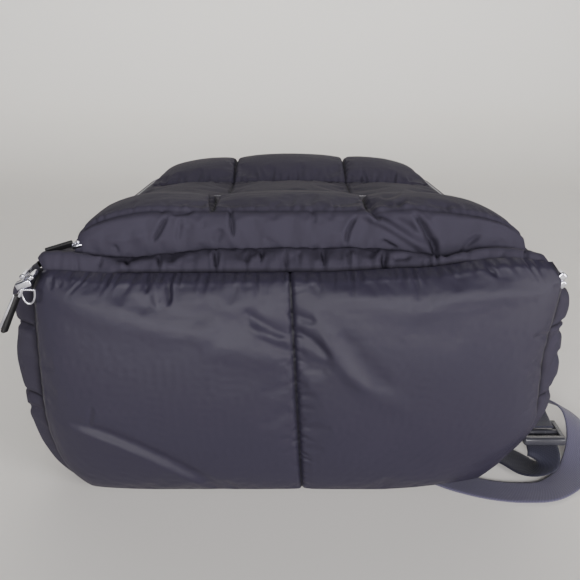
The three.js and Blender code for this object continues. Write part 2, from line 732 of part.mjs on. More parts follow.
function pocketTape() {
  const start = POCKET_START + POCKET_CORNER * 0.1;
  return pocketStrip(POCKET_TAPE_WIDTH, POCKET_TAPE_THICKNESS, 1.5 * SEAM_GAP, start);
}

function pocketTab() {
  const { x, y } = pocketCorner;
  const z = tapeTop(x, y) + POCKET_SLIDER_THICKNESS + SEAM_GAP + TAB_THICKNESS / 2;
  const a = [x + POCKET_TAB_LENGTH * 0.1, y + 1, z + 0.6];
  const b = [x - POCKET_TAB_LENGTH * 0.85, y - 5, z + 0.4];
  return bar(a, b, [0, 1, 0], TAB_WIDTH, TAB_THICKNESS);
}

const WEBBING_HALF = WEBBING_THICKNESS / 2;

// The webbing's stations are measured outward from the base's edge: where out is negative, they are
// under the bag
const besideRight = ({ out, ...rest }) => ({ x: BASE_HALF_WIDTH + out, ...rest });
const besideLeft = ({ out, ...rest }) => ({ x: -BASE_HALF_WIDTH - out, ...rest });

// The loose loop on the right: out from the strap's end, round beside the bag and back to its lower corner
const LOOP_PATH = [
  { out: -32.9, y: 109, z: 3, lean: 0 },
  { out: -30.8, y: 98.5, z: 3, lean: 0 },
  { out: -22, y: 86, z: 3, lean: 0 },
  { out: -2, y: 80, z: 4, lean: 0 },
  { out: 20, y: 84, z: 8, lean: 10 },
  { out: 46, y: 82, z: 15, lean: 30 },
  { out: 61, y: 64, z: 15, lean: 34 },
  { out: 61, y: 38, z: 8, lean: 18 },
  { out: 46, y: 12, z: 1.6, lean: 2 },
  { out: 24, y: -5, z: 1, lean: 0 },
  { out: 5, y: -8, z: 1, lean: 0 },
  { out: -11, y: -5, z: 0.8, lean: 0 },
].map(besideRight);

// The strap's dark tail: over the buckle's front bar, down and back towards the bag
const TAIL_PATH = [
  { out: 26, y: 31, z: 20.4, lean: 0 },
  { out: 26, y: 21, z: 20.4, lean: 0 },
  { out: 25, y: 15, z: 14, lean: 0 },
  { out: 22, y: 13, z: 6, lean: 0 },
  { out: 16, y: 17, z: 1.8, lean: 0 },
  { out: 10, y: 26, z: 1.4, lean: 0 },
].map(besideRight);

// Short webbing from the bag's side to the buckle's back bar
const ANCHOR_PATH = [
  { out: 11.6, y: 74, z: 36, lean: 0 },
  { out: 23, y: 62, z: 30, lean: 0 },
  { out: 26, y: 50, z: 22, lean: 0 },
  { out: 26, y: 43, z: 20.4, lean: 0 },
  { out: 26, y: 35.5, z: 20.4, lean: 0 },
].map(besideRight);

const LEFT_WEBBING_PATH = [
  { out: -33, y: 109, z: 1, lean: 0 },
  { out: -30, y: 90, z: 1, lean: 0 },
  { out: -27, y: 76, z: 1, lean: 0 },
  { out: -24, y: 62, z: 1, lean: 0 },
].map(besideLeft);

const HANDLE_Z = STRAP_THICKNESS + SEAM_GAP - HANDLE_THICKNESS / 2; // right below the back panel
const HANDLE_PATH = [
  { side: -1, y: HANDLE_START, lean: 0 },
  { side: -1, y: LENGTH + 16, lean: 0 },
  { side: -0.9, y: LENGTH + HANDLE_REACH * 0.74, lean: 15 },
  { side: -0.45, y: LENGTH + HANDLE_REACH * 0.95, lean: 30 },
  { side: 0, y: LENGTH + HANDLE_REACH, lean: 34 },
  { side: 0.45, y: LENGTH + HANDLE_REACH * 0.95, lean: 30 },
  { side: 0.9, y: LENGTH + HANDLE_REACH * 0.74, lean: 15 },
  { side: 1, y: LENGTH + 16, lean: 0 },
  { side: 1, y: HANDLE_START, lean: 0 },
].map(({ side, y, lean }) => ({ x: side * HANDLE_HALF_SPAN, y, z: HANDLE_Z + lean * 0.1, lean }));

const webbing = (path, steps) => ribbon(smoothPath(path, steps), WEBBING_WIDTH, WEBBING_THICKNESS);
const mainTape = chamferStrip(ZIP_FACE, TAPE_THICKNESS, 0);
const mainChain = chamferStrip(CHAIN_WIDTH, CHAIN_THICKNESS, chainLift);

const rightBuckle = piece("buckle_right", buckle(), "plastic");
rightBuckle.position.set(BUCKLE_SPOT.x, BUCKLE_SPOT.y, BUCKLE_SPOT.z);

const leftBuckle = piece("buckle_left", buckle(), "plastic");
const leftBuckleHeight = 1 + WEBBING_HALF + SEAM_GAP + BUCKLE_THICKNESS / 2;
leftBuckle.position.set(LEFT_BUCKLE_SPOT.x, LEFT_BUCKLE_SPOT.y, leftBuckleHeight);
leftBuckle.rotation.z = -0.2;

const bag = new THREE.Group();
bag.position.y = -REST_MIDDLE;
bag.add(
  piece("front_panel", frontPanel(), "nylon"),
  piece("side_band", sideBand(), "nylon"),
  piece("base_panel", basePanel(), "nylon"),
  piece("back_panel", backPanel(), "lining"),
  piece("main_zip_tape", outlineStrip(mainTape, zipCentre), "tape"),
  piece("main_zip_chain", outlineStrip(mainChain, zipCentre, CHAIN_ENDS), "steel"),
  piece("pocket", pocket(), "nylon"),
  piece("pocket_zip_tape", pocketTape(), "tape"),
  piece("pocket_zip_chain", pocketChain(), "steel"),
  piece("main_slider", mainSlider(), "steel"),
  piece("main_pull_ring", pullRing(), "steel"),
  piece("main_pull_tab", pullTab(), "rubber"),
  piece("main_zip_stop", zipStop(), "steel"),
  piece("pocket_slider", pocketSlider(), "steel"),
  piece("pocket_pull_tab", pocketTab(), "rubber"),
  piece("strap_right", strap(1), "nylon"),
  piece("strap_left", strap(-1), "nylon"),
  piece("webbing_loop_right", webbing(LOOP_PATH, 26), "webbing"),
  piece("webbing_tail_right", webbing(TAIL_PATH, 12), "webbing"),
  piece("webbing_anchor_right", webbing(ANCHOR_PATH, 8), "webbing"),
  piece("webbing_left", webbing(LEFT_WEBBING_PATH, 6), "webbing"),
  piece("grab_handle", ribbon(smoothPath(HANDLE_PATH, 28), HANDLE_WIDTH, HANDLE_THICKNESS), "webbing"),
  rightBuckle,
  leftBuckle,
);

const part = new THREE.Group();
part.add(bag);
export default part;
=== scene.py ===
"""A quilted puffer backpack that lies on its back, in metres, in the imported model's frame."""
import math

import bmesh
import bpy
import numpy as np
from mathutils import Euler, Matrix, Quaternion, Vector


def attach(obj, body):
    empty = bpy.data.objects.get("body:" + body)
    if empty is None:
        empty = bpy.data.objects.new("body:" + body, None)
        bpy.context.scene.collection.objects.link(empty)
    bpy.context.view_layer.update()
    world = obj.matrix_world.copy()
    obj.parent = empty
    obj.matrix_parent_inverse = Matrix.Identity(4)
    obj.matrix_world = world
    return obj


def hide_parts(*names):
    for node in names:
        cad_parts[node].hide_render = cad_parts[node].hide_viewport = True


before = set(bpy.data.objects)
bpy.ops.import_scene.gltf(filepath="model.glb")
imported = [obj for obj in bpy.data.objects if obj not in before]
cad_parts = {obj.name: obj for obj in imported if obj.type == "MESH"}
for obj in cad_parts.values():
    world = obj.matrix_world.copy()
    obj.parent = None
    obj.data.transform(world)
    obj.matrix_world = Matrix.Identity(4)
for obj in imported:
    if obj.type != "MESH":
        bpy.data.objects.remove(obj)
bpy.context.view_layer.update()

MM = 0.001
BODY = "root"

# Sizes in millimetres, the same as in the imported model. Y is counted from the base seam here.
LENGTH = 383.0
BASE_HALF_WIDTH = 136.0
SIDE_TAPER = 20.0
SHOULDER_RADIUS = 75.0
BASE_DEPTH = 138.0
TOP_DEPTH = 124.0
TOP_DROOP = 14.0
DROOP_START = 0.76
PANEL_CROWN = 4.0
EDGE_SEAM = 2.5
ZIP_DROP = 7.0
CORNER_RUN = 32.0
CORNER_RISE = 60.0
SIDE_BOW = 2.0
STRAP_THICKNESS = 12.0
REST_FLAT = 36.0
LIFT_END = 96.0
REST_MIDDLE = 18.0
SEAM_GAP = 0.3
POCKET_START = 18.0
POCKET_LENGTH = 154.0
POCKET_END = POCKET_START + POCKET_LENGTH
POCKET_MARGIN = 14.0
POCKET_CORNER = 40.0
POCKET_SHOULDER = 58.0
COLUMN_SEAM = 48.0
BASE_SEAM_LEAN = 7.4
SHOULDER_START = LENGTH - SHOULDER_RADIUS
ROW_SEAMS = [0.39 * LENGTH, 0.64 * LENGTH, 0.888 * LENGTH]
LONG_SEAMS = (-1 / 3, 1 / 3)

# How wide the painted shade along a seam is, the cloth's stiffness, and how far past its cap a point may still
# give
SEAM_SHADE = 0.7
CLOTH_STIFFNESS = 12
CAP_GIVE = 0.25
TINY = 1e-9
OFF_SEAM = 9.0


# Numbers
def mix(a, b, t):
    return a + (b - a) * t


def smooth(t):
    c = np.clip(t, 0, 1)
    return c * c * (3 - 2 * c)


def rise(value, start, end):
    """0 up to start, then smoothly up to 1 at end."""
    return smooth((value - start) / (end - start))


def bell(value, width):
    """1 at 0, and fading out over the width on both sides."""
    return np.exp(-((value / width) ** 2))


def pillow(t):
    """A round crown over 0 to 1, upright at both ends."""
    return np.sqrt(np.maximum(4 * t * (1 - t), 0))


def ellipse(t):
    """0 at the edge, upright there, and 1 from t = 1 on."""
    return np.sqrt(np.maximum(1 - (1 - np.clip(t, 0, 1)) ** 2, 0))


def half_width(y):
    y = np.asarray(y, float)
    shoulder = BASE_HALF_WIDTH - SIDE_TAPER
    up = np.clip(y - SHOULDER_START, 0, SHOULDER_RADIUS)
    low = mix(BASE_HALF_WIDTH, shoulder, y / SHOULDER_START)
    high = shoulder - SHOULDER_RADIUS + np.sqrt(np.maximum(SHOULDER_RADIUS**2 - up**2, 0))
    return np.where(y <= SHOULDER_START, low, high)


def zip_height(y):
    droop = TOP_DROOP * smooth((y / LENGTH - DROOP_START) / (1 - DROOP_START))
    return mix(BASE_DEPTH, TOP_DEPTH, y / LENGTH) - droop


def rest_height(y):
    return (STRAP_THICKNESS + 2 * SEAM_GAP) * smooth((y - REST_FLAT) / (LIFT_END - REST_FLAT))


# The base's top edge against a level line: shares of the half width, and shares of the base's depth
RISE_AT = np.array([-1, -0.7, 0.1, 0.5, 0.85, 1.0])
RISE = np.array([0.01, -0.004, 0, 0.018, 0.062, 0.045])


def edge_rise(x, y):
    s = np.clip(np.asarray(x) / BASE_HALF_WIDTH, -1, 1)
    fine = np.linspace(-1, 1, 201)
    k = np.clip(np.searchsorted(RISE_AT, fine, side="right") - 1, 0, len(RISE_AT) - 2)
    t = smooth((fine - RISE_AT[k]) / (RISE_AT[k + 1] - RISE_AT[k]))
    table = mix(RISE[k], RISE[k + 1], t)
    return BASE_DEPTH * np.interp(s, fine, table) * (1 - smooth(np.asarray(y) / ROW_SEAMS[0]))


def front_base(x, y):
    lengthwise = smooth(y / ROW_SEAMS[0]) * (1 - smooth((y - ROW_SEAMS[2]) / (LENGTH - ROW_SEAMS[2])))
    crown = PANEL_CROWN * lengthwise * (1 - np.clip(x / half_width(y), -1, 1) ** 2)
    return zip_height(y) + crown + edge_rise(x, y)


def long_seam(half):
    return np.minimum(COLUMN_SEAM, half * 0.7)


# How far the corners beside the base move from the plain form, in mm, and the stretches that they fade over
CORNER_OUT = 8.5
CORNER_REACH = 75.0
CORNER_X = (70.0, 145.0)
CORNER_Z = (85.0, 140.0)
CORNER_LEAST = 0.08
LEFT_OUT = 6.0
LEFT_LIFT = 4.5
LEFT_REACH = 50.0
LEFT_X = (92.0, 137.0)
LEFT_Y = (0.0, 9.0)
LEFT_Z = (105.0, 135.0)
FOOT_LIFT = 6.0
FOOT_TRIM = 9.0
FOOT_Z = (0.0, 60.0)
FOOT_X = (50.0, 130.0)


def full_corner(points):
    """Fills out the corners beside the base's top seam, and lifts and trims the right one at its foot."""
    p = np.array(points, float)
    x, y, z = p[..., 0].copy(), p[..., 1], p[..., 2].copy()
    near = bell(np.maximum(y, 0), CORNER_REACH)
    right = rise(x, *CORNER_X)
    p[..., 0] += CORNER_OUT * right * near * mix(CORNER_LEAST, 1, rise(z, *CORNER_Z))
    left = rise(-x, *LEFT_X) * bell(np.maximum(y, 0), LEFT_REACH) * rise(y, *LEFT_Y)
    upper = rise(z, *LEFT_Z)
    p[..., 0] -= LEFT_OUT * left * upper
    p[..., 2] += LEFT_LIFT * left * upper
    low = 1 - rise(z, *FOOT_Z)
    p[..., 2] += FOOT_LIFT * low * near * rise(x, *FOOT_X)
    p[..., 0] -= FOOT_TRIM * low * near * right
    return p


# Meshes
def to_model(points):
    """Bag coordinates in mm to the model's metres."""
    p = np.array(points, float) * MM
    p[..., 1] -= REST_MIDDLE * MM
    return p


def linked(name, data):
    """A new object in the scene with this data."""
    o = bpy.data.objects.new(name, data)
    bpy.context.scene.collection.objects.link(o)
    return o


def mesh_object(name, verts, faces, uv=None):
    mesh = bpy.data.meshes.new(name)
    mesh.from_pydata([tuple(v) for v in verts], [], [tuple(int(i) for i in f) for f in faces])
    mesh.update()
    if uv is not None:
        layer = mesh.uv_layers.new(name="UVMap")
        index = np.empty(len(mesh.loops), np.int32)
        mesh.loops.foreach_get("vertex_index", index)
        layer.data.foreach_set("uv", np.asarray(uv, np.float32)[index].ravel())
    mesh.polygons.foreach_set("use_smooth", [True] * len(mesh.polygons))
    return linked(name, mesh)


def grid_faces(rows, cols, wrap=False):
    """Four-sided faces between the points of a grid, closed across its columns if it wraps."""
    i, j = np.meshgrid(np.arange(rows - 1), np.arange(cols if wrap else cols - 1), indexing="ij")
    k = (j + 1) % cols
    return np.stack([i * cols + j, i * cols + k, (i + 1) * cols + k, (i + 1) * cols + j], -1).reshape(-1, 4)


def arc_lengths(points, axis):
    """Running length along one axis of a grid, averaged over the other, as fabric coordinates."""
    step = np.linalg.norm(np.diff(points, axis=axis), axis=-1)
    run = np.cumsum(step, axis=axis)
    pad = [(0, 0), (0, 0)]
    pad[axis] = (1, 0)
    return np.pad(run, pad)


def grid_object(name, points, flip=False, seam=None):
    """A sheet through a grid of points in bag mm, with UVs in metres of cloth and a mask of painted shade
    along its seams.
    """
    p = to_model(points)
    rows, cols = p.shape[:2]
    faces = grid_faces(rows, cols)
    if flip:
        faces = faces[:, ::-1]
    uv = np.stack([arc_lengths(p, 1), arc_lengths(p, 0)], -1).reshape(-1, 2)
    o = mesh_object(name, p.reshape(-1, 3), faces, uv)
    if seam is not None:
        # The seam attribute carries the painted shade along the seams into the nylon's colour.
        mask = o.data.attributes.new("seam", "FLOAT", "POINT")
        mask.data.foreach_set("value", np.asarray(seam, np.float32).ravel())
    return o


def seam_shade_mask(*distances):
    """The mask of painted shade in the seams' valleys: 1 on a seam, 0 a few millimetres off it."""
    nearest = np.minimum.reduce([np.abs(d) for d in distances])
    return bell(nearest, SEAM_SHADE)


def coords(o):
    """An object's points in metres."""
    out = np.empty(len(o.data.vertices) * 3)
    o.data.vertices.foreach_get("co", out)
    return out.reshape(-1, 3)


def sim_cloth(o, pins, grow, pressure, frames, cap, bending):
    """Swells a sheet between its pinned seams with Blender's Cloth, and returns its points in metres."""
    start = coords(o)
    group = o.vertex_groups.new(name="pins")
    weights = pins.reshape(-1)
    for level in np.unique(weights[weights > 0]):
        group.add([int(i) for i in np.nonzero(weights == level)[0]], float(level), "REPLACE")
    modifier = o.modifiers.new("Cloth", "CLOTH")
    cloth = modifier.settings
    cloth.quality = 5
    cloth.mass = 0.12
    cloth.air_damping = 2.0
    cloth.tension_stiffness = CLOTH_STIFFNESS
    cloth.compression_stiffness = CLOTH_STIFFNESS
    cloth.shear_stiffness = CLOTH_STIFFNESS * 0.4
    cloth.bending_stiffness = bending
    cloth.tension_damping = 8
    cloth.compression_damping = 8
    cloth.bending_damping = 1.0
    cloth.shrink_min = -grow
    cloth.vertex_group_mass = "pins"
    cloth.pin_stiffness = 5
    cloth.use_pressure = True
    cloth.uniform_pressure_force = pressure
    cloth.effector_weights.gravity = 0
    modifier.collision_settings.use_collision = False
    modifier.point_cache.frame_start = 1
    modifier.point_cache.frame_end = frames
    scene = bpy.context.scene
    for f in range(1, frames + 1):
        scene.frame_set(f)
    got = o.evaluated_get(bpy.context.evaluated_depsgraph_get())
    move = coords(got) - start
    o.modifiers.remove(modifier)
    o.vertex_groups.remove(group)
    scene.frame_set(1)
    far = np.linalg.norm(move, axis=1, keepdims=True)
    limit = cap * MM
    capped = limit * (1 + np.tanh((far - limit) / limit) * CAP_GIVE) / np.maximum(far, TINY)
    return start + move * np.where(far > limit, capped, 1)


def thicken(o, mm):
    m = o.modifiers.new("Solidify", "SOLIDIFY")
    m.thickness = mm * MM
    m.offset = -1


# Materials
def linear(rgb):
    """A colour as seen on a screen to linear light."""
    return tuple(((c + 0.055) / 1.055) ** 2.4 if c > 0.04045 else c / 12.92 for c in rgb) + (1.0,)


def shades(base, *factors):
    """The same colour, darker and lighter."""
    return [tuple(c * k for c in base[:3]) + (1.0,) for k in factors]


class Nodes:
    """Short names for building a node tree."""

    def __init__(self, name):
        self.material = bpy.data.materials.new(name)
        self.material.use_nodes = True
        self.tree = self.material.node_tree
        self.bsdf = self.tree.nodes["Principled BSDF"]

    def add(self, kind, **values):
        node = self.tree.nodes.new(kind)
        for key, value in values.items():
            if key in node.inputs:
                node.inputs[key].default_value = value
            else:
                setattr(node, key, value)
        return node

    def link(self, a, b):
        self.tree.links.new(a, b)

    def set(self, **values):
        for key, value in values.items():
            self.bsdf.inputs[key.replace("_", " ")].default_value = value

    def drive(self, name, output):
        self.link(output, self.bsdf.inputs[name])

    def place(self):
        return self.add("ShaderNodeTexCoord").outputs["Object"]

    def cloth_axes(self):
        """Distances across and along the cloth, in metres."""
        split = self.add("ShaderNodeSeparateXYZ")
        self.link(self.add("ShaderNodeTexCoord").outputs["UV"], split.inputs[0])
        return split.outputs[0], split.outputs[1]

    def math(self, operation, a, b=None, c=None):
        node = self.add("ShaderNodeMath", operation=operation)
        for k, v in enumerate((a, b, c)):
            if v is None:
                continue
            if isinstance(v, (int, float)):
                node.inputs[k].default_value = v
            else:
                self.link(v, node.inputs[k])
        return node.outputs[0]

    def noise(self, vector, scale, detail=2.0, roughness=0.5):
        node = self.add("ShaderNodeTexNoise", Scale=scale, Detail=detail, Roughness=roughness)
        self.link(vector, node.inputs["Vector"])
        return node.outputs["Fac"]

    def ramp(self, value, stops):
        node = self.add("ShaderNodeValToRGB")
        e = node.color_ramp.elements
        while len(e) < len(stops):
            e.new(0.5)
        for k, (at, colour) in enumerate(stops):
            e[k].position = at
            e[k].color = colour
        self.link(value, node.inputs["Fac"])
        return node.outputs["Color"]

    def bump(self, height, strength, distance, before=None):
        node = self.add("ShaderNodeBump", Strength=strength, Distance=distance)
        self.link(height, node.inputs["Height"])
        if before is not None:
            self.link(before, node.inputs["Normal"])
        return node.outputs["Normal"]


def nylon(name, colour, spread=0.12, rough=0.5, crinkle=0.25, gloss=0.14):
    """Tightly woven nylon: plain weave, faint crinkles, uneven colour and satin gloss, with painted shade
    darkening it along its seams.
    """
    n = Nodes(name)
    place = n.place()
    dark, plain, light = shades(linear(colour), 1 - spread, 1, 1 + spread)
    patch = n.noise(place, scale=9.0, detail=4.0, roughness=0.6)
    # Painted shade: the colour is darkened along the seams' valleys by the seam mask.
    seam = n.add("ShaderNodeAttribute", attribute_name="seam").outputs["Fac"]
    cloth = n.add("ShaderNodeVectorMath", operation="SCALE")
    n.link(n.ramp(patch, [(0.3, dark), (0.5, plain), (0.72, light)]), cloth.inputs[0])
    n.link(n.math("MULTIPLY_ADD", seam, -SEAM_PAINTED_SHADE, 1.0), cloth.inputs["Scale"])
    n.drive("Base Color", cloth.outputs[0])
    across, along = n.cloth_axes()
    thread = 2 * math.pi / NYLON_THREAD
    warp = n.math("SINE", n.math("MULTIPLY", across, thread))
    weft = n.math("SINE", n.math("MULTIPLY", along, thread))
    weave = n.math("MULTIPLY", warp, weft)
    soft = n.noise(place, scale=55.0, detail=4.0, roughness=0.55)
    fine = n.noise(place, scale=260.0, detail=3.0, roughness=0.6)
    creased = n.bump(soft, strength=crinkle, distance=0.0012)
    grained = n.bump(fine, strength=crinkle * 0.7, distance=0.0004, before=creased)
    n.drive("Normal", n.bump(weave, strength=0.22, distance=0.00012, before=grained))
    worn = n.noise(place, scale=30.0, detail=3.0, roughness=0.6)
    n.drive("Roughness", n.math("MULTIPLY_ADD", worn, 0.16, rough - 0.08))
    n.set(Specular_IOR_Level=gloss)
    return n.material


def ribbed(name, colour, rib=0.0016, rough=0.6):
    """Woven webbing or zip tape: slanted ribs and a fine thread."""
    n = Nodes(name)
    place = n.place()
    across, run = n.cloth_axes()
    steep, flat = n.math("MULTIPLY", run, 2 * math.pi / rib), n.math("MULTIPLY", across, math.pi / rib)
    slanted = n.math("ADD", steep, flat)
    ribs = n.math("SINE", slanted)
    threads = n.math("SINE", n.math("MULTIPLY", across, 2 * math.pi / (rib * 0.7)))
    height = n.math("MULTIPLY_ADD", ribs, 0.5, n.math("MULTIPLY", threads, 0.5))
    # The ribs' colour follows their height: painted shade in the hollows and a painted highlight on the
    # crests.
    shade = n.math("MULTIPLY_ADD", height, 0.25, 0.5)
    dark, light = shades(linear(colour), 0.72, 1.25)
    n.drive("Base Color", n.ramp(shade, [(0.2, dark), (0.8, light)]))
    wear = n.bump(n.noise(place, scale=120.0, detail=3.0), strength=0.2, distance=0.0005)
    n.drive("Normal", n.bump(height, strength=0.35, distance=0.0003, before=wear))
    n.set(Roughness=rough, Specular_IOR_Level=0.15, Sheen_Weight=0.1, Sheen_Roughness=0.5)
    return n.material


def metal(name, colour, rough=0.22):
    """Plated metal with faint scratches and duller patches."""
    n = Nodes(name)
    place = n.place()
    scratch = n.noise(place, scale=900.0, detail=4.0, roughness=0.7)
    n.drive("Normal", n.bump(scratch, strength=0.08, distance=0.0001))
    n.drive("Roughness", n.math("MULTIPLY_ADD", n.noise(place, scale=300.0), 0.2, rough - 0.1))
    dull, bright = shades(linear(colour), 0.7, 1)
    n.drive("Base Color", n.ramp(n.noise(place, scale=160.0, detail=3.0), [(0.35, dull), (0.6, bright)]))
    n.set(Metallic=1.0)
    return n.material


def moulded(name, colour, rough=0.32, grain=500.0):
    """Moulded plastic or rubber with a fine grain."""
    n = Nodes(name)
    place = n.place()
    plain, light = shades(linear(colour), 1, 1.35)
    n.drive("Base Color", n.ramp(n.noise(place, scale=60.0, detail=3.0), [(0.4, plain), (0.7, light)]))
    n.drive("Normal", n.bump(n.noise(place, scale=grain, detail=3.0), strength=0.12, distance=0.0002))
    n.drive("Roughness", n.math("MULTIPLY_ADD", n.noise(place, scale=90.0, detail=3.0), 0.15, rough - 0.07))
    return n.material


# How much darker the painted shade makes a seam than the cloth beside it, and the width of one thread in
# metres
SEAM_PAINTED_SHADE = 0.72
NYLON_THREAD = 0.00045


# The shell and the base are one fabric. Their colours differ to even out how each face is lit: the base's
# darker, bluer colour is painted shade and the shell's lighter one is painted light.
NYLON = nylon("nylon_shell", (0.218, 0.207, 0.25), spread=0.06, rough=0.58, crinkle=0.08, gloss=0.035)
NYLON_BASE = nylon("nylon_base", (0.166, 0.154, 0.206), spread=0.05, rough=0.42, crinkle=0.05, gloss=0.22)
BACK_CLOTH = nylon("back_cloth", (0.2, 0.19, 0.23), rough=0.65, crinkle=0.3)
TAPE = ribbed("zip_tape", (0.15, 0.145, 0.18), rib=0.0009, rough=0.75)
WEBBING = ribbed("strap_webbing", (0.33, 0.32, 0.395), rough=0.5)
# A darker copy of the strap webbing, as painted shade, for the anchor and the tail that lie in shadow beside
# the buckle.
SHADED_WEBBING = ribbed("strap_webbing_painted_shade", (0.17, 0.17, 0.22))
STEEL = metal("nickel", (0.8, 0.8, 0.84))
PLASTIC = moulded("buckle_plastic", (0.21, 0.21, 0.235), rough=0.25)
RUBBER = moulded("pull_rubber", (0.05, 0.05, 0.06), rough=0.55, grain=900.0)
TEETH = metal("zip_teeth", (0.6, 0.6, 0.64), rough=0.36)


def finish(o, material, replaces=()):
    """Gives a piece its material, its body and the nodes that it stands for."""
    o.data.materials.clear()
    o.data.materials.append(material)
    if replaces:
        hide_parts(*replaces)
    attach(o, BODY)
    return o


# Grids, folds and gathers
def blocks(cuts, spacing):
    """Positions along one direction that hit every seam, and each one's share within its block."""
    at, share = [], []
    for a, b in zip(cuts[:-1], cuts[1:]):
        n = max(int(round((b - a) / spacing)), 2)
        t = np.linspace(0, 1, n + 1)[:-1]
        at.append(a + (b - a) * t)
        share.append(t)
    at.append([cuts[-1]])
    share.append([0.0])
    return np.concatenate(at), np.concatenate(share)


def ripple(shape, seed, scale):
    """Smooth seeded noise on a grid, about -1 to 1."""
    r = np.random.RandomState(seed)
    small = r.uniform(-1, 1, (max(int(shape[0] / scale), 2) + 2, max(int(shape[1] / scale), 2) + 2))
    i = np.linspace(0, small.shape[0] - 1.001, shape[0])
    j = np.linspace(0, small.shape[1] - 1.001, shape[1])
    a, b = np.floor(i).astype(int), np.floor(j).astype(int)
    s, t = smooth(i - a)[:, None], smooth(j - b)[None, :]
    top = mix(small[np.ix_(a, b)], small[np.ix_(a, b + 1)], t)
    low = mix(small[np.ix_(a + 1, b)], small[np.ix_(a + 1, b + 1)], t)
    return mix(top, low, s)


def finer_axis(g, k, axis):
    """k times as many points along one axis, on smooth curves through the given ones."""
    g = np.moveaxis(np.asarray(g, float), axis, 0)
    e = np.concatenate([2 * g[:1] - g[1:2], g, 2 * g[-1:] - g[-2:-1]])
    p0, p1, p2, p3 = e[:-3], e[1:-2], e[2:-1], e[3:]
    out = np.empty(((g.shape[0] - 1) * k + 1,) + g.shape[1:])
    for j in range(k):
        t = j / k
        square, cube = 2 * p0 - 5 * p1 + 4 * p2 - p3, 3 * p1 - p0 - 3 * p2 + p3
        out[j:-1:k] = 0.5 * (2 * p1 + (p2 - p0) * t + square * t * t + cube * t**3)
    out[-1] = g[-1]
    return np.moveaxis(out, 0, axis)


def finer(g, k):
    return finer_axis(finer_axis(g, k, 0), k, 1)


def finer_line(v, k):
    """The same for plain positions, in straight steps."""
    n = len(v)
    return np.interp(np.arange((n - 1) * k + 1) / k, np.arange(n), v)


def unit(vectors):
    return vectors / np.maximum(np.linalg.norm(vectors, axis=-1, keepdims=True), TINY)


def grid_normals(p):
    return unit(np.cross(np.gradient(p, axis=1), np.gradient(p, axis=0)))


def soft_normals(p, rounds=10):
    """Normals of the larger form, without the grooves."""
    q = p.copy()
    for _ in range(rounds):
        q[1:-1] = (q[:-2] + 2 * q[1:-1] + q[2:]) / 4
        q[:, 1:-1] = (q[:, :-2] + 2 * q[:, 1:-1] + q[:, 2:]) / 4
    return grid_normals(q)


# Where a point is in the photograph's view: the camera stands in front of the base and looks slightly down
VIEW_FROM = (-396.0, 281.0)
VIEW_TILT = math.radians(20.9)
VIEW_SCALE = 760.0
VIEW_MIDDLE = 290.0
LENS = 47.2


def seen_at(p):
    """Picture coordinates of points in bag mm."""
    ahead, above = p[..., 1] - VIEW_FROM[0], p[..., 2] - VIEW_FROM[1]
    away = ahead * math.cos(VIEW_TILT) - above * math.sin(VIEW_TILT)
    up = ahead * math.sin(VIEW_TILT) + above * math.cos(VIEW_TILT)
    return VIEW_MIDDLE + VIEW_SCALE * p[..., 0] / away, VIEW_MIDDLE - VIEW_SCALE * up / away


# Shapes across a fold, in half widths from its line: a crease's lips, and a flap's edge and far side
LIP_HEIGHT, LIP_AT, LIP_WIDTH = 0.12, 2.2, 1.4
FLAP_EDGE = (-0.4, 1.0)
FLAP_FADE = 7.0
FLAP_DIP, FLAP_DIP_AT, FLAP_DIP_WIDTH = 0.7, -0.8, 1.1
FOLD_END = 4
FOLD_NARROW = 0.45


def fold(px, py, row):
    """One fold's height: a crease with soft lips, a ridge, or a flap that stands out on one side."""
    kind, from_x, from_y, to_x, to_y, bend, height, width = row
    length = math.hypot(to_x - from_x, to_y - from_y)
    along_x, along_y = (to_x - from_x) / length, (to_y - from_y) / length
    share = ((px - from_x) * along_x + (py - from_y) * along_y) / length
    inside = np.clip(share, 0, 1)
    off = (py - from_y) * along_x - (px - from_x) * along_y - bend * 4 * share * (1 - share)
    ends = smooth(inside * FOLD_END) * smooth((1 - inside) * FOLD_END)
    taper = 1 if kind == "flap" else mix(FOLD_NARROW, 1, np.sin(np.pi * inside))
    q = off / (width * taper)
    if kind == "crease":
        shape = LIP_HEIGHT * bell(np.abs(q) - LIP_AT, LIP_WIDTH) - bell(q, 1)
    elif kind == "ridge":
        shape = bell(q, 1)
    else:
        out = rise(q, *FLAP_EDGE) * np.exp(-np.maximum(q - 1, 0) / FLAP_FADE)
        shape = out - FLAP_DIP * bell(q - FLAP_DIP_AT, FLAP_DIP_WIDTH)
    return height * ends * shape


def folds(p, table):
    """The heights of all folds in a table, for points in bag mm."""
    px, py = seen_at(p)
    total = np.zeros(p.shape[:-1])
    for row in table:
        total += fold(px, py, row)
    return total


# A gather's width, size, length, slant and distance to the next one are drawn between these shares
PLEAT_START = (0.2, 0.8)
PLEAT_WIDTH = (0.13, 0.24)
PLEAT_SIZE = (0.35, 1.0)
PLEAT_LENGTH = (0.5, 1.6)
PLEAT_SLANT = (-0.35, 0.35)
PLEAT_STEP = (0.6, 1.5)


def pleats(along, away, seed, pitch, depth, reach):
    """Small gathers that run off a seam: along and away are the distances along and off it, in mm."""
    r = np.random.RandomState(seed)
    total = np.zeros(np.broadcast(along, away).shape)
    at = np.min(along) + pitch * r.uniform(*PLEAT_START)
    while at < np.max(along):
        width = pitch * r.uniform(*PLEAT_WIDTH)
        size = depth * r.uniform(*PLEAT_SIZE)
        length = reach * r.uniform(*PLEAT_LENGTH)
        slant = r.uniform(*PLEAT_SLANT)
        q = (along - at - slant * away) / width
        fade = bell(away, length) * smooth(away / 1.5 + 0.25)
        total += size * fade * (0.5 * bell(np.abs(q) - 2.0, 1) - bell(q, 1))
        at += pitch * r.uniform(*PLEAT_STEP)
    return total


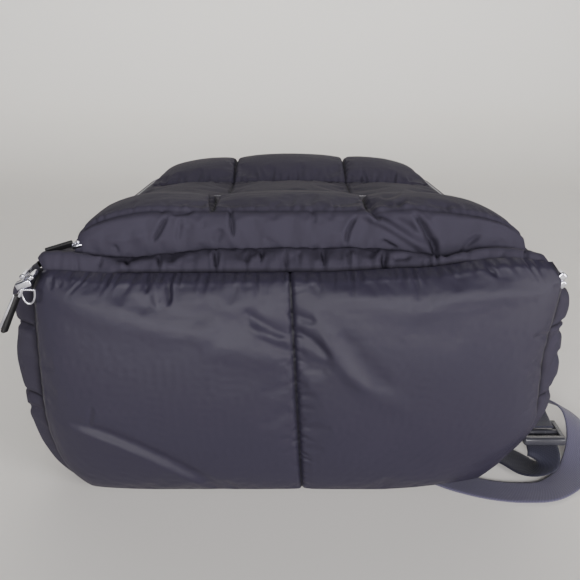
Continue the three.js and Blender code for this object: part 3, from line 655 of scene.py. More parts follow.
def groove(away, depth, width):
    """The hollow of a seam."""
    return -depth * np.exp(-np.abs(away / width) ** 1.3)


def rim_pinned(pins):
    """The pins with the grid's whole rim held too."""
    pins[0] = pins[-1] = 1
    pins[:, 0] = pins[:, -1] = 1
    return pins


def swell(name, p, pins, **settings):
    """Runs the cloth on a grid of points in bag mm and returns the swollen grid."""
    o = grid_object(name, p)
    moved = sim_cloth(o, pins, **settings) / MM
    moved[:, 1] += REST_MIDDLE
    mesh = o.data
    bpy.data.objects.remove(o)
    bpy.data.meshes.remove(mesh)
    return moved.reshape(p.shape)


# The grids' spacing in mm before the cloth runs, and how many times finer they are afterwards
COARSE = 2.6
FINE = 2
FINEST = 3


# The base panel
# Folds as seen from the front: kind, from (x, y) to (x, y) in the picture, bend, height in mm, half width
BASE_FOLDS = [
    ("flap", 52, 418, 250, 510, -8, 1.6, 4.0),
    ("crease", 92, 406, 88, 428, 0, 0.8, 3.0),
    ("ridge", 246, 326, 292, 345, 2, 0.7, 6.0),
    ("crease", 240, 308, 294, 337, 4, 1.5, 6.0),
    ("crease", 256, 336, 296, 353, 2, 1.2, 5.5),
    ("crease", 286, 326, 334, 362, -3, 2.0, 5.5),
    ("ridge", 316, 326, 372, 396, 3, 1.6, 9.0),
    ("crease", 336, 328, 398, 398, 4, 1.1, 12.0),
    ("crease", 292, 350, 336, 368, 3, 1.1, 9.0),
    ("ridge", 336, 364, 420, 416, 3, 0.7, 13.0),
    ("crease", 286, 312, 318, 324, 0, 1.2, 4.5),
    ("crease", 163, 266, 168, 308, -3, 2.2, 2.8),
    ("crease", 148, 266, 146, 296, 0, 1.6, 2.4),
    ("ridge", 156, 272, 157, 312, 0, 0.8, 5.0),
    ("crease", 50, 268, 52, 291, 0, 1.0, 1.8),
    ("crease", 59, 268, 61, 289, 0, 0.8, 1.8),
    ("crease", 70, 272, 69, 284, 0, 0.7, 1.8),
    ("crease", 107, 272, 108, 289, 0, 0.8, 1.8),
    ("crease", 469, 262, 490, 278, -3, 1.8, 2.6),
    ("crease", 430, 262, 426, 277, 0, 1.2, 2.4),
    ("crease", 547, 334, 526, 338, 0, 1.0, 3.0),
    ("crease", 545, 366, 530, 360, 0, 0.8, 3.0),
    ("ridge", 40, 292, 200, 336, 6, 1.3, 16.0),
    ("ridge", 180, 330, 292, 366, 2, 1.2, 15.0),
    ("crease", 120, 300, 240, 322, 0, 0.9, 11.0),
    ("ridge", 300, 296, 548, 292, 3, 1.4, 14.0),
    ("crease", 400, 330, 470, 336, 0, 0.7, 18.0),
    ("ridge", 470, 470, 545, 400, 8, 1.2, 10.0),
]


# The base's crown in mm, its fall beside the middle seam, and the shares of its half width that both take
BASE_BELLY = 19.0
BASE_RIM = 0.5
SEAM_DIP = 0.74
SEAM_DIP_RUN = 0.3
BASE_SIDE_RUN = 0.42
# The size of its cloth, in mm, for distances off its seams, and of the grid
BASE_CLOTH = 138.0
BASE_GRID = (150, 145)


def base_half_width(z):
    """Half the base's width at a height, with the rounded foot and the chamfer at the zip."""
    edge = BASE_DEPTH - ZIP_DROP
    wall = BASE_HALF_WIDTH + ZIP_DROP
    bow = SIDE_BOW * np.sin((np.pi / 2) * np.clip((edge - z) / (edge - CORNER_RISE), 0, 1))
    fall = np.clip(1 - z / CORNER_RISE, 0, 1)
    low = wall + bow - CORNER_RUN * (1 - np.sqrt(1 - fall**2))
    return np.where(z >= edge, wall - ZIP_DROP * (z - edge) / (ZIP_DROP + EDGE_SEAM), low)


def base_panel():
    """Two smooth padded halves, with a leaning seam between them, soft creases and gathers at the seams."""
    v = np.linspace(0, 1, int(BASE_GRID[0] / COARSE) + 1)
    u, col = blocks([-1, 0, 1], COARSE / BASE_GRID[1])
    z = v[:, None] * (BASE_DEPTH + EDGE_SEAM) + 0 * u[None, :]
    seam = BASE_SEAM_LEAN * (1 - v)[:, None]
    x = mix(seam, np.sign(u)[None, :] * base_half_width(z), np.abs(u)[None, :])
    off = np.abs(u)[None, :] + 0 * z
    side = ellipse((1 - off) / BASE_SIDE_RUN) ** 0.8
    dip = mix(SEAM_DIP, 1, ellipse(off / SEAM_DIP_RUN))
    depth = BASE_RIM + BASE_BELLY * side * dip * pillow(v)[:, None] ** 0.8
    p = np.stack([x, -depth, z + edge_rise(x, 0 * x) * v[:, None]], -1)
    pins = rim_pinned(np.zeros(x.shape))
    pins[:, col < TINY] = 1
    p = finer(swell("base_cloth", p, pins, grow=0.004, pressure=3, frames=14, cap=4, bending=4.0), FINEST)
    u, v = finer_line(u, FINEST)[None, :], finer_line(v, FINEST)[:, None]
    up, across = v * BASE_CLOTH + 0 * u, u * BASE_CLOTH + 0 * v
    off_seam, below_zip = np.abs(across), BASE_CLOTH - up
    off_side = BASE_CLOTH - off_seam
    rim = np.minimum(1, np.minimum(off_side, np.minimum(up, below_zip)) / 3)
    d = folds(p, BASE_FOLDS) * rim * smooth(0.1 + up / 24)
    left = pleats(up, off_seam, seed=6, pitch=8.0, depth=0.5, reach=3.0)
    right = pleats(up, off_seam, seed=5, pitch=6.0, depth=0.8, reach=4.0)
    d += np.where(u > 0, right, left)
    d += pleats(across, below_zip, seed=7, pitch=6.5, depth=1.0, reach=5.0)
    d += pleats(up, off_side, seed=8, pitch=14.0, depth=0.3, reach=3.5)
    d += groove(off_seam, depth=1.3, width=0.7)
    p = full_corner(p + soft_normals(p) * d[..., None])
    p[..., 1] = np.minimum(p[..., 1], -0.4)
    p[..., 2] = np.maximum(p[..., 2], 0.3)
    o = grid_object("base_panel_puffs", p, seam=seam_shade_mask(off_seam, off_side / 3, below_zip + 1))
    return finish(o, NYLON_BASE, ["base_panel"])


# The front panel
FRONT_FOLDS = [
    ("crease", 101, 256, 99, 268, 0, 1.2, 2.0),
    ("crease", 128, 256, 126, 272, 0, 0.9, 2.2),
    ("crease", 159, 254, 159, 270, 0, 1.8, 2.2),
    ("ridge", 167, 262, 171, 274, 0, 0.8, 2.0),
    ("crease", 216, 247, 216, 270, 0, 3.0, 2.4),
    ("ridge", 211, 250, 212, 272, 0, 0.9, 2.4),
    ("crease", 248, 250, 246, 270, 0, 1.0, 2.0),
    ("crease", 262, 248, 261, 262, 0, 1.6, 2.0),
    ("crease", 286, 248, 286, 272, 0, 1.8, 1.9),
    ("ridge", 276, 252, 277, 270, 0, 0.7, 2.2),
    ("crease", 300, 250, 299, 266, 0, 0.8, 2.0),
    ("crease", 322, 249, 326, 268, 0, 1.9, 2.0),
    ("crease", 347, 250, 349, 268, 0, 1.0, 2.0),
    ("ridge", 353, 250, 353, 270, 0, 1.0, 2.2),
    ("crease", 384, 249, 384, 270, 0, 3.4, 3.0),
    ("crease", 390, 258, 412, 256, 0, 1.4, 3.0),
    ("crease", 421, 260, 422, 270, 0, 1.6, 2.0),
    ("crease", 430, 258, 428, 272, 0, 2.0, 2.2),
    ("crease", 437, 252, 437, 268, 0, 1.5, 2.0),
    ("crease", 452, 260, 452, 268, 0, 1.0, 1.8),
    ("crease", 468, 258, 468, 266, 0, 1.2, 1.8),
    ("crease", 502, 252, 503, 262, 0, 1.5, 1.8),
    ("crease", 525, 248, 527, 262, 0, 1.8, 2.0),
    ("crease", 527, 260, 545, 259, 2, 1.5, 1.8),
]
# The crown of each row in mm: the roll, the part under the pocket, then the rows beyond it
ROW_CROWNS = np.array([6.5, 0.0, 1.0, 4.5, 4.0])
# How far the last but one row stands up as a whole, and how far from the sides it does so, left and right
FAR_RISE = 11.0
FAR_SHOULDERS = (100, 78)
# How far the roll's ends are drawn down to the base, over which stretch along and across the bag
END_TUCK = 4.5
TUCK_Y = (0.0, 7.0)
TUCK_X = (92.0, 108.0)
# The cloth's depth in each seam between rows
ROW_GATHERS = (0.7, 1.5, 0.9)
# How far the pocket's lower seam lies above its plain line, by place across the bag, in mm
FOOT_AT = np.array([-125, -85, -45, 0, 30, 55, 80, 100, 131])
FOOT_UP = np.array([0.5, 0.0, 4.5, 4.5, 4.0, 1.5, -5.0, -3.5, -3.5])


def foot_up(x):
    """The pocket's lower seam above its plain line, evened out over 20 mm."""
    fine = np.linspace(-140, 140, 281)
    y = np.interp(fine, FOOT_AT, FOOT_UP)
    kernel = np.hanning(21)
    y = np.convolve(np.pad(y, 10, mode="edge"), kernel / kernel.sum(), mode="valid")
    return np.interp(x, fine, y)


def columns(u, seam, edge, bulge=0.0):
    """Places across the bag: three columns between two long seams, for u from -1 to 1."""
    outside = (np.abs(u) - 1 / 3) * 1.5
    outside = np.clip(outside + bulge * np.sin(np.pi * outside) * outside, 0, 1)
    return np.where(np.abs(u) <= 1 / 3 + TINY, 3 * u * seam, np.sign(u) * mix(seam, edge, outside))


def front_panel():
    """The quilted front: a gathered roll below the pocket, then three columns of puffs in rows."""
    y, row = blocks([0, POCKET_START] + ROW_SEAMS + [LENGTH], COARSE)
    u, col = blocks([-1, *LONG_SEAMS, 1], COARSE / BASE_HALF_WIDTH)
    half = half_width(y)[:, None]
    x = columns(u[None, :], long_seam(half), half)
    yy = np.broadcast_to(y[:, None], x.shape)
    z = front_base(x, yy) + EDGE_SEAM
    z = z + foot_up(x) * smooth(yy / POCKET_START) * (1 - smooth((yy - POCKET_START) / 30))
    z = z - END_TUCK * (1 - rise(yy, *TUCK_Y)) * rise(np.abs(x), *TUCK_X)
    far = np.clip((yy - ROW_SEAMS[1]) / (ROW_SEAMS[2] - ROW_SEAMS[1]), 0, 1)
    shoulder = ellipse((half - np.abs(x)) / np.where(x < 0, *FAR_SHOULDERS)) ** 1.3
    z = z + FAR_RISE * np.sin(np.pi * far**0.9) * shoulder
    index = np.searchsorted(np.array([POCKET_START] + ROW_SEAMS), y, side="right")
    roll = index[:, None] == 0
    across = np.where(roll, pillow((x / half + 1) / 2) ** 0.5, pillow(col)[None, :] ** 0.8)
    under = smooth((POCKET_END - 4 - yy) / 14) * (yy > POCKET_START)
    covered = under * smooth((half - POCKET_MARGIN - 6 - np.abs(x)) / 8)
    puff = ROW_CROWNS[index][:, None] * pillow(row)[:, None] * across * (1 - covered)
    z = z + puff + 0.15 * ripple(x.shape, 3, 4) * (puff > 0.4)
    pins = ((row[:, None] < TINY) | (col[None, :] < TINY)) * 1.0
    pins[(y < POCKET_START) & (row > 0), 1:-1] = 0
    pins = rim_pinned(pins)
    pins[covered > 0.5] = 1
    p = np.stack([x, yy, z], -1)
    p = swell("front_cloth", p, pins, grow=0.014, pressure=3.5, frames=18, cap=6, bending=2.5)
    p = full_corner(finer_axis(finer_axis(p, FINE, 0), FINEST, 1))
    x = p[..., 0]
    y = finer_line(y, FINE)[:, None] + 0 * x
    u = finer_line(u, FINEST)[None, :] + 0 * x
    beyond = y > POCKET_END
    d = 1.5 * folds(p, FRONT_FOLDS) * smooth(y / 2) * (y < POCKET_START + 10)
    d += pleats(x, y, seed=11, pitch=9.0, depth=0.9, reach=6.0) * (y < POCKET_START)
    d += pleats(x, np.abs(POCKET_START - y), seed=12, pitch=10.0, depth=0.9, reach=5.0) * (y < POCKET_START)
    for k, at in enumerate(ROW_SEAMS):
        gathers = pleats(x, np.abs(y - at), seed=13 + k, pitch=8.0, depth=ROW_GATHERS[k], reach=9.0)
        d += gathers * (y > POCKET_END - 10) + groove(y - at, depth=1.2, width=1.8) * beyond
    seams = [y, y - POCKET_START] + [np.where(beyond, y - at, OFF_SEAM) for at in ROW_SEAMS]
    for k, at in zip((-1, 1), LONG_SEAMS):
        off = np.abs(u - at) * BASE_HALF_WIDTH
        gathers = pleats(y, off, seed=20 + k, pitch=8.0, depth=0.6, reach=5.0)
        d += (groove(off, depth=1.2, width=1.4) + gathers) * (y > POCKET_START + 8)
        seams.append(np.where(beyond, off, OFF_SEAM))
    p = p + soft_normals(p, 6) * d[..., None]
    o = grid_object("front_panel_puffs", p, seam=seam_shade_mask(*seams))
    return finish(o, NYLON, ["front_panel"])


# The pocket
POCKET_FOLDS = [
    ("crease", 168, 214, 152, 244, 0, 3.2, 2.2),
    ("crease", 181, 216, 177, 242, 0, 1.3, 2.6),
    ("crease", 230, 204, 233, 240, 0, 3.2, 2.0),
    ("crease", 358, 214, 346, 248, 3, 3.2, 2.2),
    ("crease", 222, 228, 215, 244, 0, 1.4, 4.0),
    ("ridge", 100, 240, 150, 232, 3, 1.2, 6.0),
    ("crease", 160, 204, 163, 214, 0, 1.2, 2.4),
    ("crease", 170, 213, 196, 209, 2, 1.4, 2.6),
    ("crease", 211, 192, 211, 209, 0, 2.4, 2.0),
    ("crease", 114, 244, 118, 254, 0, 1.4, 2.2),
    ("crease", 262, 238, 280, 247, 0, 1.0, 4.0),
    ("crease", 310, 206, 316, 224, 0, 1.2, 2.6),
    ("crease", 412, 210, 438, 262, -3, 5.5, 3.0),
    ("crease", 434, 236, 437, 262, 0, 3.5, 2.6),
    ("flap", 350, 210, 436, 262, -4, -2.0, 4.0),
    ("crease", 366, 198, 380, 222, 0, 3.0, 4.0),
    ("crease", 482, 234, 458, 260, 3, 2.2, 3.2),
    ("crease", 378, 196, 402, 190, 3, 1.2, 3.0),
    ("crease", 383, 205, 408, 197, 4, 1.4, 3.0),
    ("ridge", 398, 204, 424, 222, -4, 1.4, 4.0),
    ("ridge", 440, 252, 470, 246, 2, 1.0, 4.0),
    ("crease", 366, 206, 434, 246, -3, 2.6, 6.0),
    ("crease", 382, 240, 398, 250, 2, 2.4, 3.0),
]
# The cloth's run up the pocket's lower wall and on to its cross seam, how far the wall leans in, the
# pocket's half width for distances off its seams, and its crown in mm at the wall, the face and the rest
POCKET_WALL_RUN = 26.0
POCKET_FACE_RUN = 62.0
POCKET_LEAN = 5.0
POCKET_CLOTH = 128.0
POCKET_CROWNS = np.array([3.5, 5.0, 3.0])
POCKET_SIDES = (44, POCKET_SHOULDER)
# How far the pocket's right side is drawn out at its foot, and up to where along the bag
POCKET_OUT = 8.0
POCKET_OUT_Y = (30.0, 110.0)
# Height of the pocket over the front panel, seam lines only, by place along the bag, in mm
FACE_AT = np.array([23, 54, 85, 125, 150, 172])
FACE_UP = np.array([28.5, 28.0, 15.5, 7.0, 3.5, 2.0])


def pocket_half_width(y):
    """Half the pocket's width, with round far corners."""
    up = np.clip(y - (POCKET_END - POCKET_CORNER), 0, POCKET_CORNER)
    return half_width(y) - POCKET_MARGIN - POCKET_CORNER + np.sqrt(np.maximum(POCKET_CORNER**2 - up**2, 0))


def pocket_form(s, u):
    """The pocket's points without its puffs, for runs along the cloth and shares across it."""
    start, end, wall = POCKET_START, POCKET_END, POCKET_WALL_RUN
    y = np.where(s < wall, start + POCKET_LEAN * s / wall, start + POCKET_LEAN + (s - wall))
    slope = np.interp(y + np.linspace(-8, 8, 9)[:, None], FACE_AT, FACE_UP).mean(0)
    face = np.where(s < wall, slope[np.searchsorted(s, wall)] * s / wall, slope) * ellipse((end - y) / 12)
    half = pocket_half_width(np.clip(y, start, end))[:, None]
    wide = half + POCKET_OUT * smooth(u) * (1 - rise(y, *POCKET_OUT_Y))[:, None]
    x = columns(u, np.minimum(COLUMN_SEAM - 4, half * 0.6), wide, bulge=0.16)
    up = ellipse((wide - np.abs(x)) / np.where(x < 0, *POCKET_SIDES)) ** np.where(x < 0, 0.85, 1)
    yy = y[:, None] + 0 * x
    run = (s / wall)[:, None]
    foot = front_base(np.clip(x, -half, half), np.clip(yy, start, end)) + EDGE_SEAM + 2 * SEAM_GAP
    foot = foot + foot_up(x) * (1 - smooth(run))
    height = up * np.maximum(face[:, None] - 0.8 * edge_rise(x, yy) * run.clip(0, 1), 0)
    return np.stack([x, yy, foot + height], -1), wide, up


def pocket():
    """The puffed front pocket: a plain lower wall, a gathered seam, then a full puff that slopes away."""
    wall = POCKET_WALL_RUN
    cross = wall + POCKET_FACE_RUN
    s, row = blocks([0, wall, cross, wall + POCKET_LENGTH - POCKET_LEAN], COARSE)
    u, col = blocks([-1, *LONG_SEAMS, 1], COARSE / POCKET_CLOTH)
    p, wide, up = pocket_form(s, u[None, :])
    x = p[..., 0]
    index = np.searchsorted(np.array([wall, cross]), s, side="right")
    across = np.where(index[:, None] == 0, pillow((x / wide + 1) / 2) ** 0.5, pillow(col)[None, :] ** 0.7)
    crown = POCKET_CROWNS[index][:, None]
    puff = (crown * pillow(row)[:, None] ** 0.9 * across * np.minimum(up * 1.3, 1))[..., None]
    n = grid_normals(p)
    n = np.where(n[..., 2:] < 0, -n, n)
    p = p + n * puff + 0.12 * n * ripple(x.shape, 5, 4)[..., None] * (puff > 0.5)
    cross_pins = (row[:, None] < TINY) & (s[:, None] > 1)
    long_pins = (col[None, :] < TINY) & (index[:, None] > 0)
    pins = rim_pinned((cross_pins | long_pins) * 1.0)
    p = swell("pocket_cloth", p, pins, grow=0.01, pressure=3, frames=18, cap=4, bending=3.0)
    p = full_corner(finer(p, FINEST))
    x = p[..., 0]
    s = finer_line(s, FINEST)[:, None] + 0 * x
    u = finer_line(u, FINEST)[None, :] + 0 * x
    n = soft_normals(p)
    seen = smooth(2 * np.clip(-n[..., 1] + 0.45, 0, 1))
    d = folds(p, POCKET_FOLDS) * smooth(s / 2) * seen * (s < wall + 60)
    d += pleats(x, s, seed=31, pitch=8.0, depth=0.8, reach=4.5)
    above = pleats(x, s - wall, seed=32, pitch=6.5, depth=0.8, reach=5.0)
    below = pleats(x, wall - s, seed=33, pitch=8.0, depth=0.3, reach=3.0)
    d += np.where(s > wall, above, below) + groove(s - wall, depth=0.5, width=0.9)
    d += groove(s - cross, depth=1.2, width=1.8)
    d += pleats(x, np.abs(s - cross), seed=34, pitch=8.0, depth=0.8, reach=6.0)
    seams = [s]
    for k, at in zip((-1, 1), LONG_SEAMS):
        off = np.abs(u - at) * POCKET_CLOTH
        gathers = pleats(s, off, seed=35 + k, pitch=8.0, depth=0.7, reach=5.0)
        d += (groove(off, depth=1.4, width=1.3) + gathers) * (s > wall)
        seams.append(np.where(s > wall, off, OFF_SEAM))
    # Painted shade along the seams, at 0.45 strength along the seam at the top of the wall.
    seam = np.maximum(seam_shade_mask(*seams), 0.45 * seam_shade_mask(s - wall))
    o = grid_object("pocket_puffs", p + n * d[..., None], seam=seam)
    return finish(o, NYLON, ["pocket"])


# The side band and the back
BAND_FOLDS = [
    ("crease", 566, 322, 546, 352, 3, 1.6, 3.0),
    ("crease", 566, 345, 548, 378, 3, 1.5, 3.0),
    ("crease", 560, 372, 546, 398, 0, 1.2, 3.0),
    ("crease", 16, 322, 36, 330, 0, 2.0, 3.0),
    ("crease", 24, 404, 44, 412, 0, 2.0, 3.0),
]
# The band's long seams and its fullness, by share of the way down it
BAND_CUTS = [0, 0.17, 0.47, 1]
BAND_FILL_AT = [0, 0.1, 0.17, 0.32, 0.47, 0.6, 1]
BAND_FILL = [0.5, 0.9, 0.86, 0.98, 0.95, 0.8, 0.5]
# Its swell in mm, the shares added beside the base at the right and the left, its length down the side,
# where its cross seams lie from each end and from the middle of the top, and its share of upright wall
BAND_PUSH = 15.5
BAND_NEAR = (0.16, 0.34)
BAND_CLOTH = 165.0
BAND_CROSSES = [100, 196, 286]
BAND_TOP_CROSS = 55
BAND_UPRIGHT = 0.48


def band_section(t, y):
    """The band's plain section: outward distance and height, for shares of the way down."""
    high = zip_height(y) - ZIP_DROP - SEAM_GAP
    low = rest_height(y)
    wall = ZIP_DROP + SIDE_BOW * np.sin(np.pi * np.minimum(t / BAND_UPRIGHT, 1) * 0.5)
    turn = np.clip((t - BAND_UPRIGHT) / (1 - BAND_UPRIGHT), 0, 1) * (np.pi / 2)
    out = wall - CORNER_RUN * (1 - np.cos(turn))
    upright = mix(high, low + CORNER_RISE, t / BAND_UPRIGHT)
    z = np.where(t <= BAND_UPRIGHT, upright, low + CORNER_RISE * (1 - np.sin(turn)))
    return out, z


def round_both_sides(right, top_half, top_y, spacing):
    """A line up the left side, over the top and down the right side, from its right half."""
    n = int(2 * top_half / spacing)
    x = np.linspace(-top_half, top_half, n + 2)[1:-1]
    top = np.stack([x, np.full(n, top_y), np.zeros(n), np.ones(n)], -1)
    return np.concatenate([right * [-1, 1, -1, 1], top, right[::-1]])


def outline(spacing):
    """Points round the front panel's edge, from the left base corner to the right, with outward directions."""
    y = np.linspace(0, SHOULDER_START, int(SHOULDER_START / spacing))
    tilt = math.atan2(SIDE_TAPER, SHOULDER_START)
    turn = np.linspace(0, np.pi / 2, int(SHOULDER_RADIUS * np.pi / 2 / spacing))[1:]
    facing_x, facing_y = np.full_like(y, math.cos(tilt)), np.full_like(y, math.sin(tilt))
    straight = np.stack([half_width(y), y, facing_x, facing_y], -1)
    straight[0, 2:] = (1, 0)
    facing = tilt + (np.pi / 2 - tilt) * (turn / (np.pi / 2))
    centre = BASE_HALF_WIDTH - SIDE_TAPER - SHOULDER_RADIUS
    bend_x = centre + SHOULDER_RADIUS * np.cos(turn)
    bend_y = SHOULDER_START + SHOULDER_RADIUS * np.sin(turn)
    bend = np.stack([bend_x, bend_y, np.cos(facing), np.sin(facing)], -1)
    return round_both_sides(np.concatenate([straight, bend]), centre, LENGTH, spacing)


def side_band():
    """The side band in three channels, with cross seams."""
    line = outline(COARSE)
    run = np.concatenate([[0], np.cumsum(np.linalg.norm(np.diff(line[:, :2], axis=0), axis=1))])
    total, top = run[-1], run[-1] / 2
    crosses = BAND_CROSSES + [top - BAND_TOP_CROSS, top + BAND_TOP_CROSS]
    crosses += [total - at for at in BAND_CROSSES[::-1]]
    s, row = blocks([0, *crosses, total], COARSE)
    x0, y0, x_out, y_out = [np.interp(s, run, line[:, k])[:, None] for k in range(4)]
    t, col = blocks(BAND_CUTS, COARSE / BAND_CLOTH)
    y = y0 + 0 * t[None, :]
    t = t[None, :] + 0 * y
    out, z = band_section(t, y)
    before = band_section(np.maximum(t - 0.01, 0), y)
    after = band_section(np.minimum(t + 0.01, 1), y)
    d_out, d_z = after[0] - before[0], after[1] - before[1]
    size = np.hypot(d_out, d_z)
    fill = np.interp(t[0][:, None] + np.linspace(-0.06, 0.06, 9), BAND_FILL_AT, BAND_FILL).mean(1)[None, :]
    ends = np.sqrt(smooth(np.minimum(s, total - s)[:, None] / 14))
    low_part = smooth((t - 0.7) / 0.28) * 0.7
    near = 1 + np.where(x0 > 0, *BAND_NEAR) * smooth(1 - y / 90)
    channel = mix(0.88, 1, pillow(col)[None, :]) * ellipse(t / 0.07) * ellipse((1 - t) / 0.2)
    crossing = mix(0.8, 1, pillow(row)[:, None] ** 0.7)
    push = BAND_PUSH * near * fill * channel * ends * crossing * (1 - low_part)
    out = out - d_z / size * push
    z = np.maximum(z + d_out / size * push, rest_height(y) + 0.2)
    out = out + 0.3 * ripple(out.shape, 8, 4) * (push > 1)
    p = np.stack([x0 + x_out * out, y0 + y_out * out, z], -1)
    pins = rim_pinned(((row[:, None] < TINY) | (col[None, :] < TINY)) * 1.0)
    pins[t > 0.86] = 1
    p = finer(swell("band_cloth", p, pins, grow=0.008, pressure=1.5, frames=16, cap=2.2, bending=2.0), FINE)
    s = finer_line(s, FINE)[:, None] + 0 * p[..., 0]
    t = finer_line(t[0], FINE)[None, :] + 0 * p[..., 0]
    down = t * BAND_CLOTH
    d = folds(p, BAND_FOLDS) * (p[..., 1] < 60)
    d += pleats(s, down, seed=44, pitch=8.0, depth=0.9, reach=6.0)
    seams = [down, s / 2, (total - s) / 2]
    for k, at in enumerate(BAND_CUTS[1:-1]):
        off = (t - at) * BAND_CLOTH
        gathers = pleats(s, np.abs(off), seed=41 + k, pitch=9.0, depth=0.8, reach=7.0)
        d += groove(off, depth=1.0, width=1.6) + gathers
        seams.append(off)
    for k, at in enumerate(crosses):
        gathers = pleats(down, np.abs(s - at), seed=50 + k, pitch=9.0, depth=0.9, reach=6.0)
        d += (groove(s - at, depth=1.3, width=1.8) + gathers) * (t < 0.9)
        seams.append(np.where(t < 0.9, s - at, OFF_SEAM))
    p = full_corner(p - soft_normals(p, 6) * (d * (t < 0.97))[..., None])
    p[..., 2] = np.maximum(p[..., 2], 0.4)
    o = grid_object("side_band_puffs", p, flip=True, seam=seam_shade_mask(*seams))
    return finish(o, NYLON, ["side_band"])


BACK_THICKNESS = 4.0
QUILT_PITCH = 18.0
QUILT_DEPTH = 1.1


def back_panel():
    """The padded back, which lies on the surface and on the straps."""
    line = outline(8)
    right = line[::-1][: len(line) // 2 + 1]
    inset = CORNER_RUN - ZIP_DROP - SIDE_BOW + SEAM_GAP
    half = right[:, 0] - right[:, 2] * inset
    y = (right[:, 1] - right[:, 3] * inset)[:, None]
    y[0] = 0
    lift = rest_height(right[:, 1])[:, None]
    x = np.linspace(-1, 1, 40)[None, :] * np.maximum(half, 0)[:, None]
    quilt = 1 - np.minimum(np.abs(np.sin(x / QUILT_PITCH)), np.abs(np.sin(y / QUILT_PITCH)))
    z = lift + 0.15 + QUILT_DEPTH * quilt * (lift > 3)
    o = grid_object("back_panel_pad", full_corner(np.stack([x, y + 0 * x, z], -1)), flip=True)
    thicken(o, BACK_THICKNESS)
    return finish(o, BACK_CLOTH, ["back_panel"])


# Zips, sliders and pulls
# The lines of both zips have a point every millimetre. The main zip's tape leans, and lies flatter and a
# little higher away from the base. Its teeth start past the slider at the left and the stop at the right.
ZIP_SPACING = 1.0
NEAR_TILT, FLAT_TILT = 45, 22.0
FLAT_LIFT = 1.2
FLAT_OUT = 0.8
TEETH_START = (5.5, 9.5)
POCKET_TAPE_START = POCKET_START + 4
POCKET_TEETH_START = POCKET_START + 14.5
POCKET_TAPE_OUT = 3.3


def main_line(left, right):
    """The main zip's line as points with outward directions, from its left end round the top to the right."""
    line = outline(ZIP_SPACING)
    x, y = line[:, 0], line[:, 1]
    return line[~(((x < 0) & (y < left)) | ((x > 0) & (y < right)))]


def chamfer_frame(line):
    """The main zip's centre, direction across its slanted tape and direction off it, at each point."""
    x, y, x_out, y_out = line.T
    out = ZIP_DROP / 2 + 0.2 + FLAT_OUT * smooth(y / 100)
    up = zip_height(y) - ZIP_DROP / 2 + 0.1 + FLAT_LIFT * smooth(y / 120)
    tilt = np.radians(mix(NEAR_TILT, FLAT_TILT, smooth(y / 120)))
    flat, steep = np.cos(tilt), np.sin(tilt)
    centre = full_corner(np.stack([x + x_out * out, y + y_out * out, up], -1))
    wide = np.stack([x_out * flat, y_out * flat, -steep], -1)
    off = np.stack([x_out * steep, y_out * steep, flat], -1)
    return centre, wide, off


def pocket_frame(start, lift):
    """The same for the pocket's zip, round three sides of the pocket."""
    bend_start = POCKET_END - POCKET_CORNER
    y = np.arange(start, bend_start, ZIP_SPACING)
    centre = half_width(np.array(POCKET_END)) - POCKET_MARGIN - POCKET_CORNER
    bend = pocket_half_width(np.array(bend_start)) - centre
    turn = np.linspace(0, np.pi / 2, int(POCKET_CORNER * 1.57 / ZIP_SPACING))
    c, k = np.cos(turn), np.sin(turn)
    side = np.stack([pocket_half_width(y), y, np.ones_like(y), np.zeros_like(y)], -1)
    corner = np.stack([centre + bend * c, bend_start + POCKET_CORNER * k, c, k], -1)
    x, y, x_out, y_out = round_both_sides(np.concatenate([side, corner]), centre, POCKET_END, ZIP_SPACING).T
    x = x + x_out * POCKET_TAPE_OUT
    y = y + y_out * POCKET_TAPE_OUT
    centre = np.stack([x, y, front_base(x, y) + EDGE_SEAM + lift], -1)
    return centre, np.stack([x_out, y_out, 0 * x], -1), np.tile([0.0, 0.0, 1.0], (len(x), 1))


def tape(name, frame_, width, thickness, cord_at, node):
    """A woven tape with a raised cord beside the teeth."""
    centre, wide, off = frame_
    across = np.linspace(-1, 1, 13) * width / 2
    height = 0.5 * bell(np.abs(across) - cord_at, 0.7) + thickness / 2
    p = centre[:, None] + wide[:, None] * across[None, :, None] + off[:, None] * height[None, :, None]
    o = grid_object(name, p)
    thicken(o, thickness)
    return finish(o, TAPE, [node])


# A box's corners from -1/2 to 1/2, and its faces
BOX_CORNERS = np.array([[x, y, z] for x in (-1, 1) for y in (-1, 1) for z in (-1, 1)], float) / 2
BOX_FACES = np.array([[0, 1, 3, 2], [4, 6, 7, 5], [0, 4, 5, 1], [2, 3, 7, 6], [0, 2, 6, 4], [1, 5, 7, 3]])


def bevel(o, mm, segments):
    m = o.modifiers.new("Bevel", "BEVEL")
    m.width = mm * MM
    m.segments = segments


def teeth(name, frame_, pitch, width, lift, node):
    """Interlocked metal teeth from both sides, in one mesh."""
    centre, wide, off = frame_
    step = max(int(round(pitch / 2 / np.linalg.norm(centre[1] - centre[0]))), 1)
    centre, wide, off = centre[::step], wide[::step], off[::step]
    side = np.where(np.arange(len(centre)) % 2 == 0, 1, -1)[:, None]
    centre = centre + wide * side * width * 0.19 + off * lift
    axes = np.stack([wide, np.cross(wide, off), off], 1)
    local = BOX_CORNERS * (width * 0.62, pitch * 0.42, 1.3)
    p = centre[:, None] + np.einsum("jk,nkl->njl", local, axes)
    faces = (BOX_FACES[None] + 8 * np.arange(len(centre))[:, None, None]).reshape(-1, 4)
    o = mesh_object(name, to_model(p.reshape(-1, 3)), faces)
    o.data.polygons.foreach_set("use_smooth", [False] * len(o.data.polygons))
    bevel(o, 0.12, 1)
    return finish(o, TEETH, [node])


def block(centre, size, bevel_by, lean=0.0, turn=0.0):
    """A rounded block, with its centre in bag mm, leant about y or turned about z in degrees."""
    o = mesh_object("block", BOX_CORNERS * np.array(size, float) * MM, BOX_FACES)
    o.rotation_euler = Euler((0, math.radians(lean), math.radians(turn)))
    o.location = to_model(np.array(centre, float))
    bevel(o, bevel_by, 3)
    return o


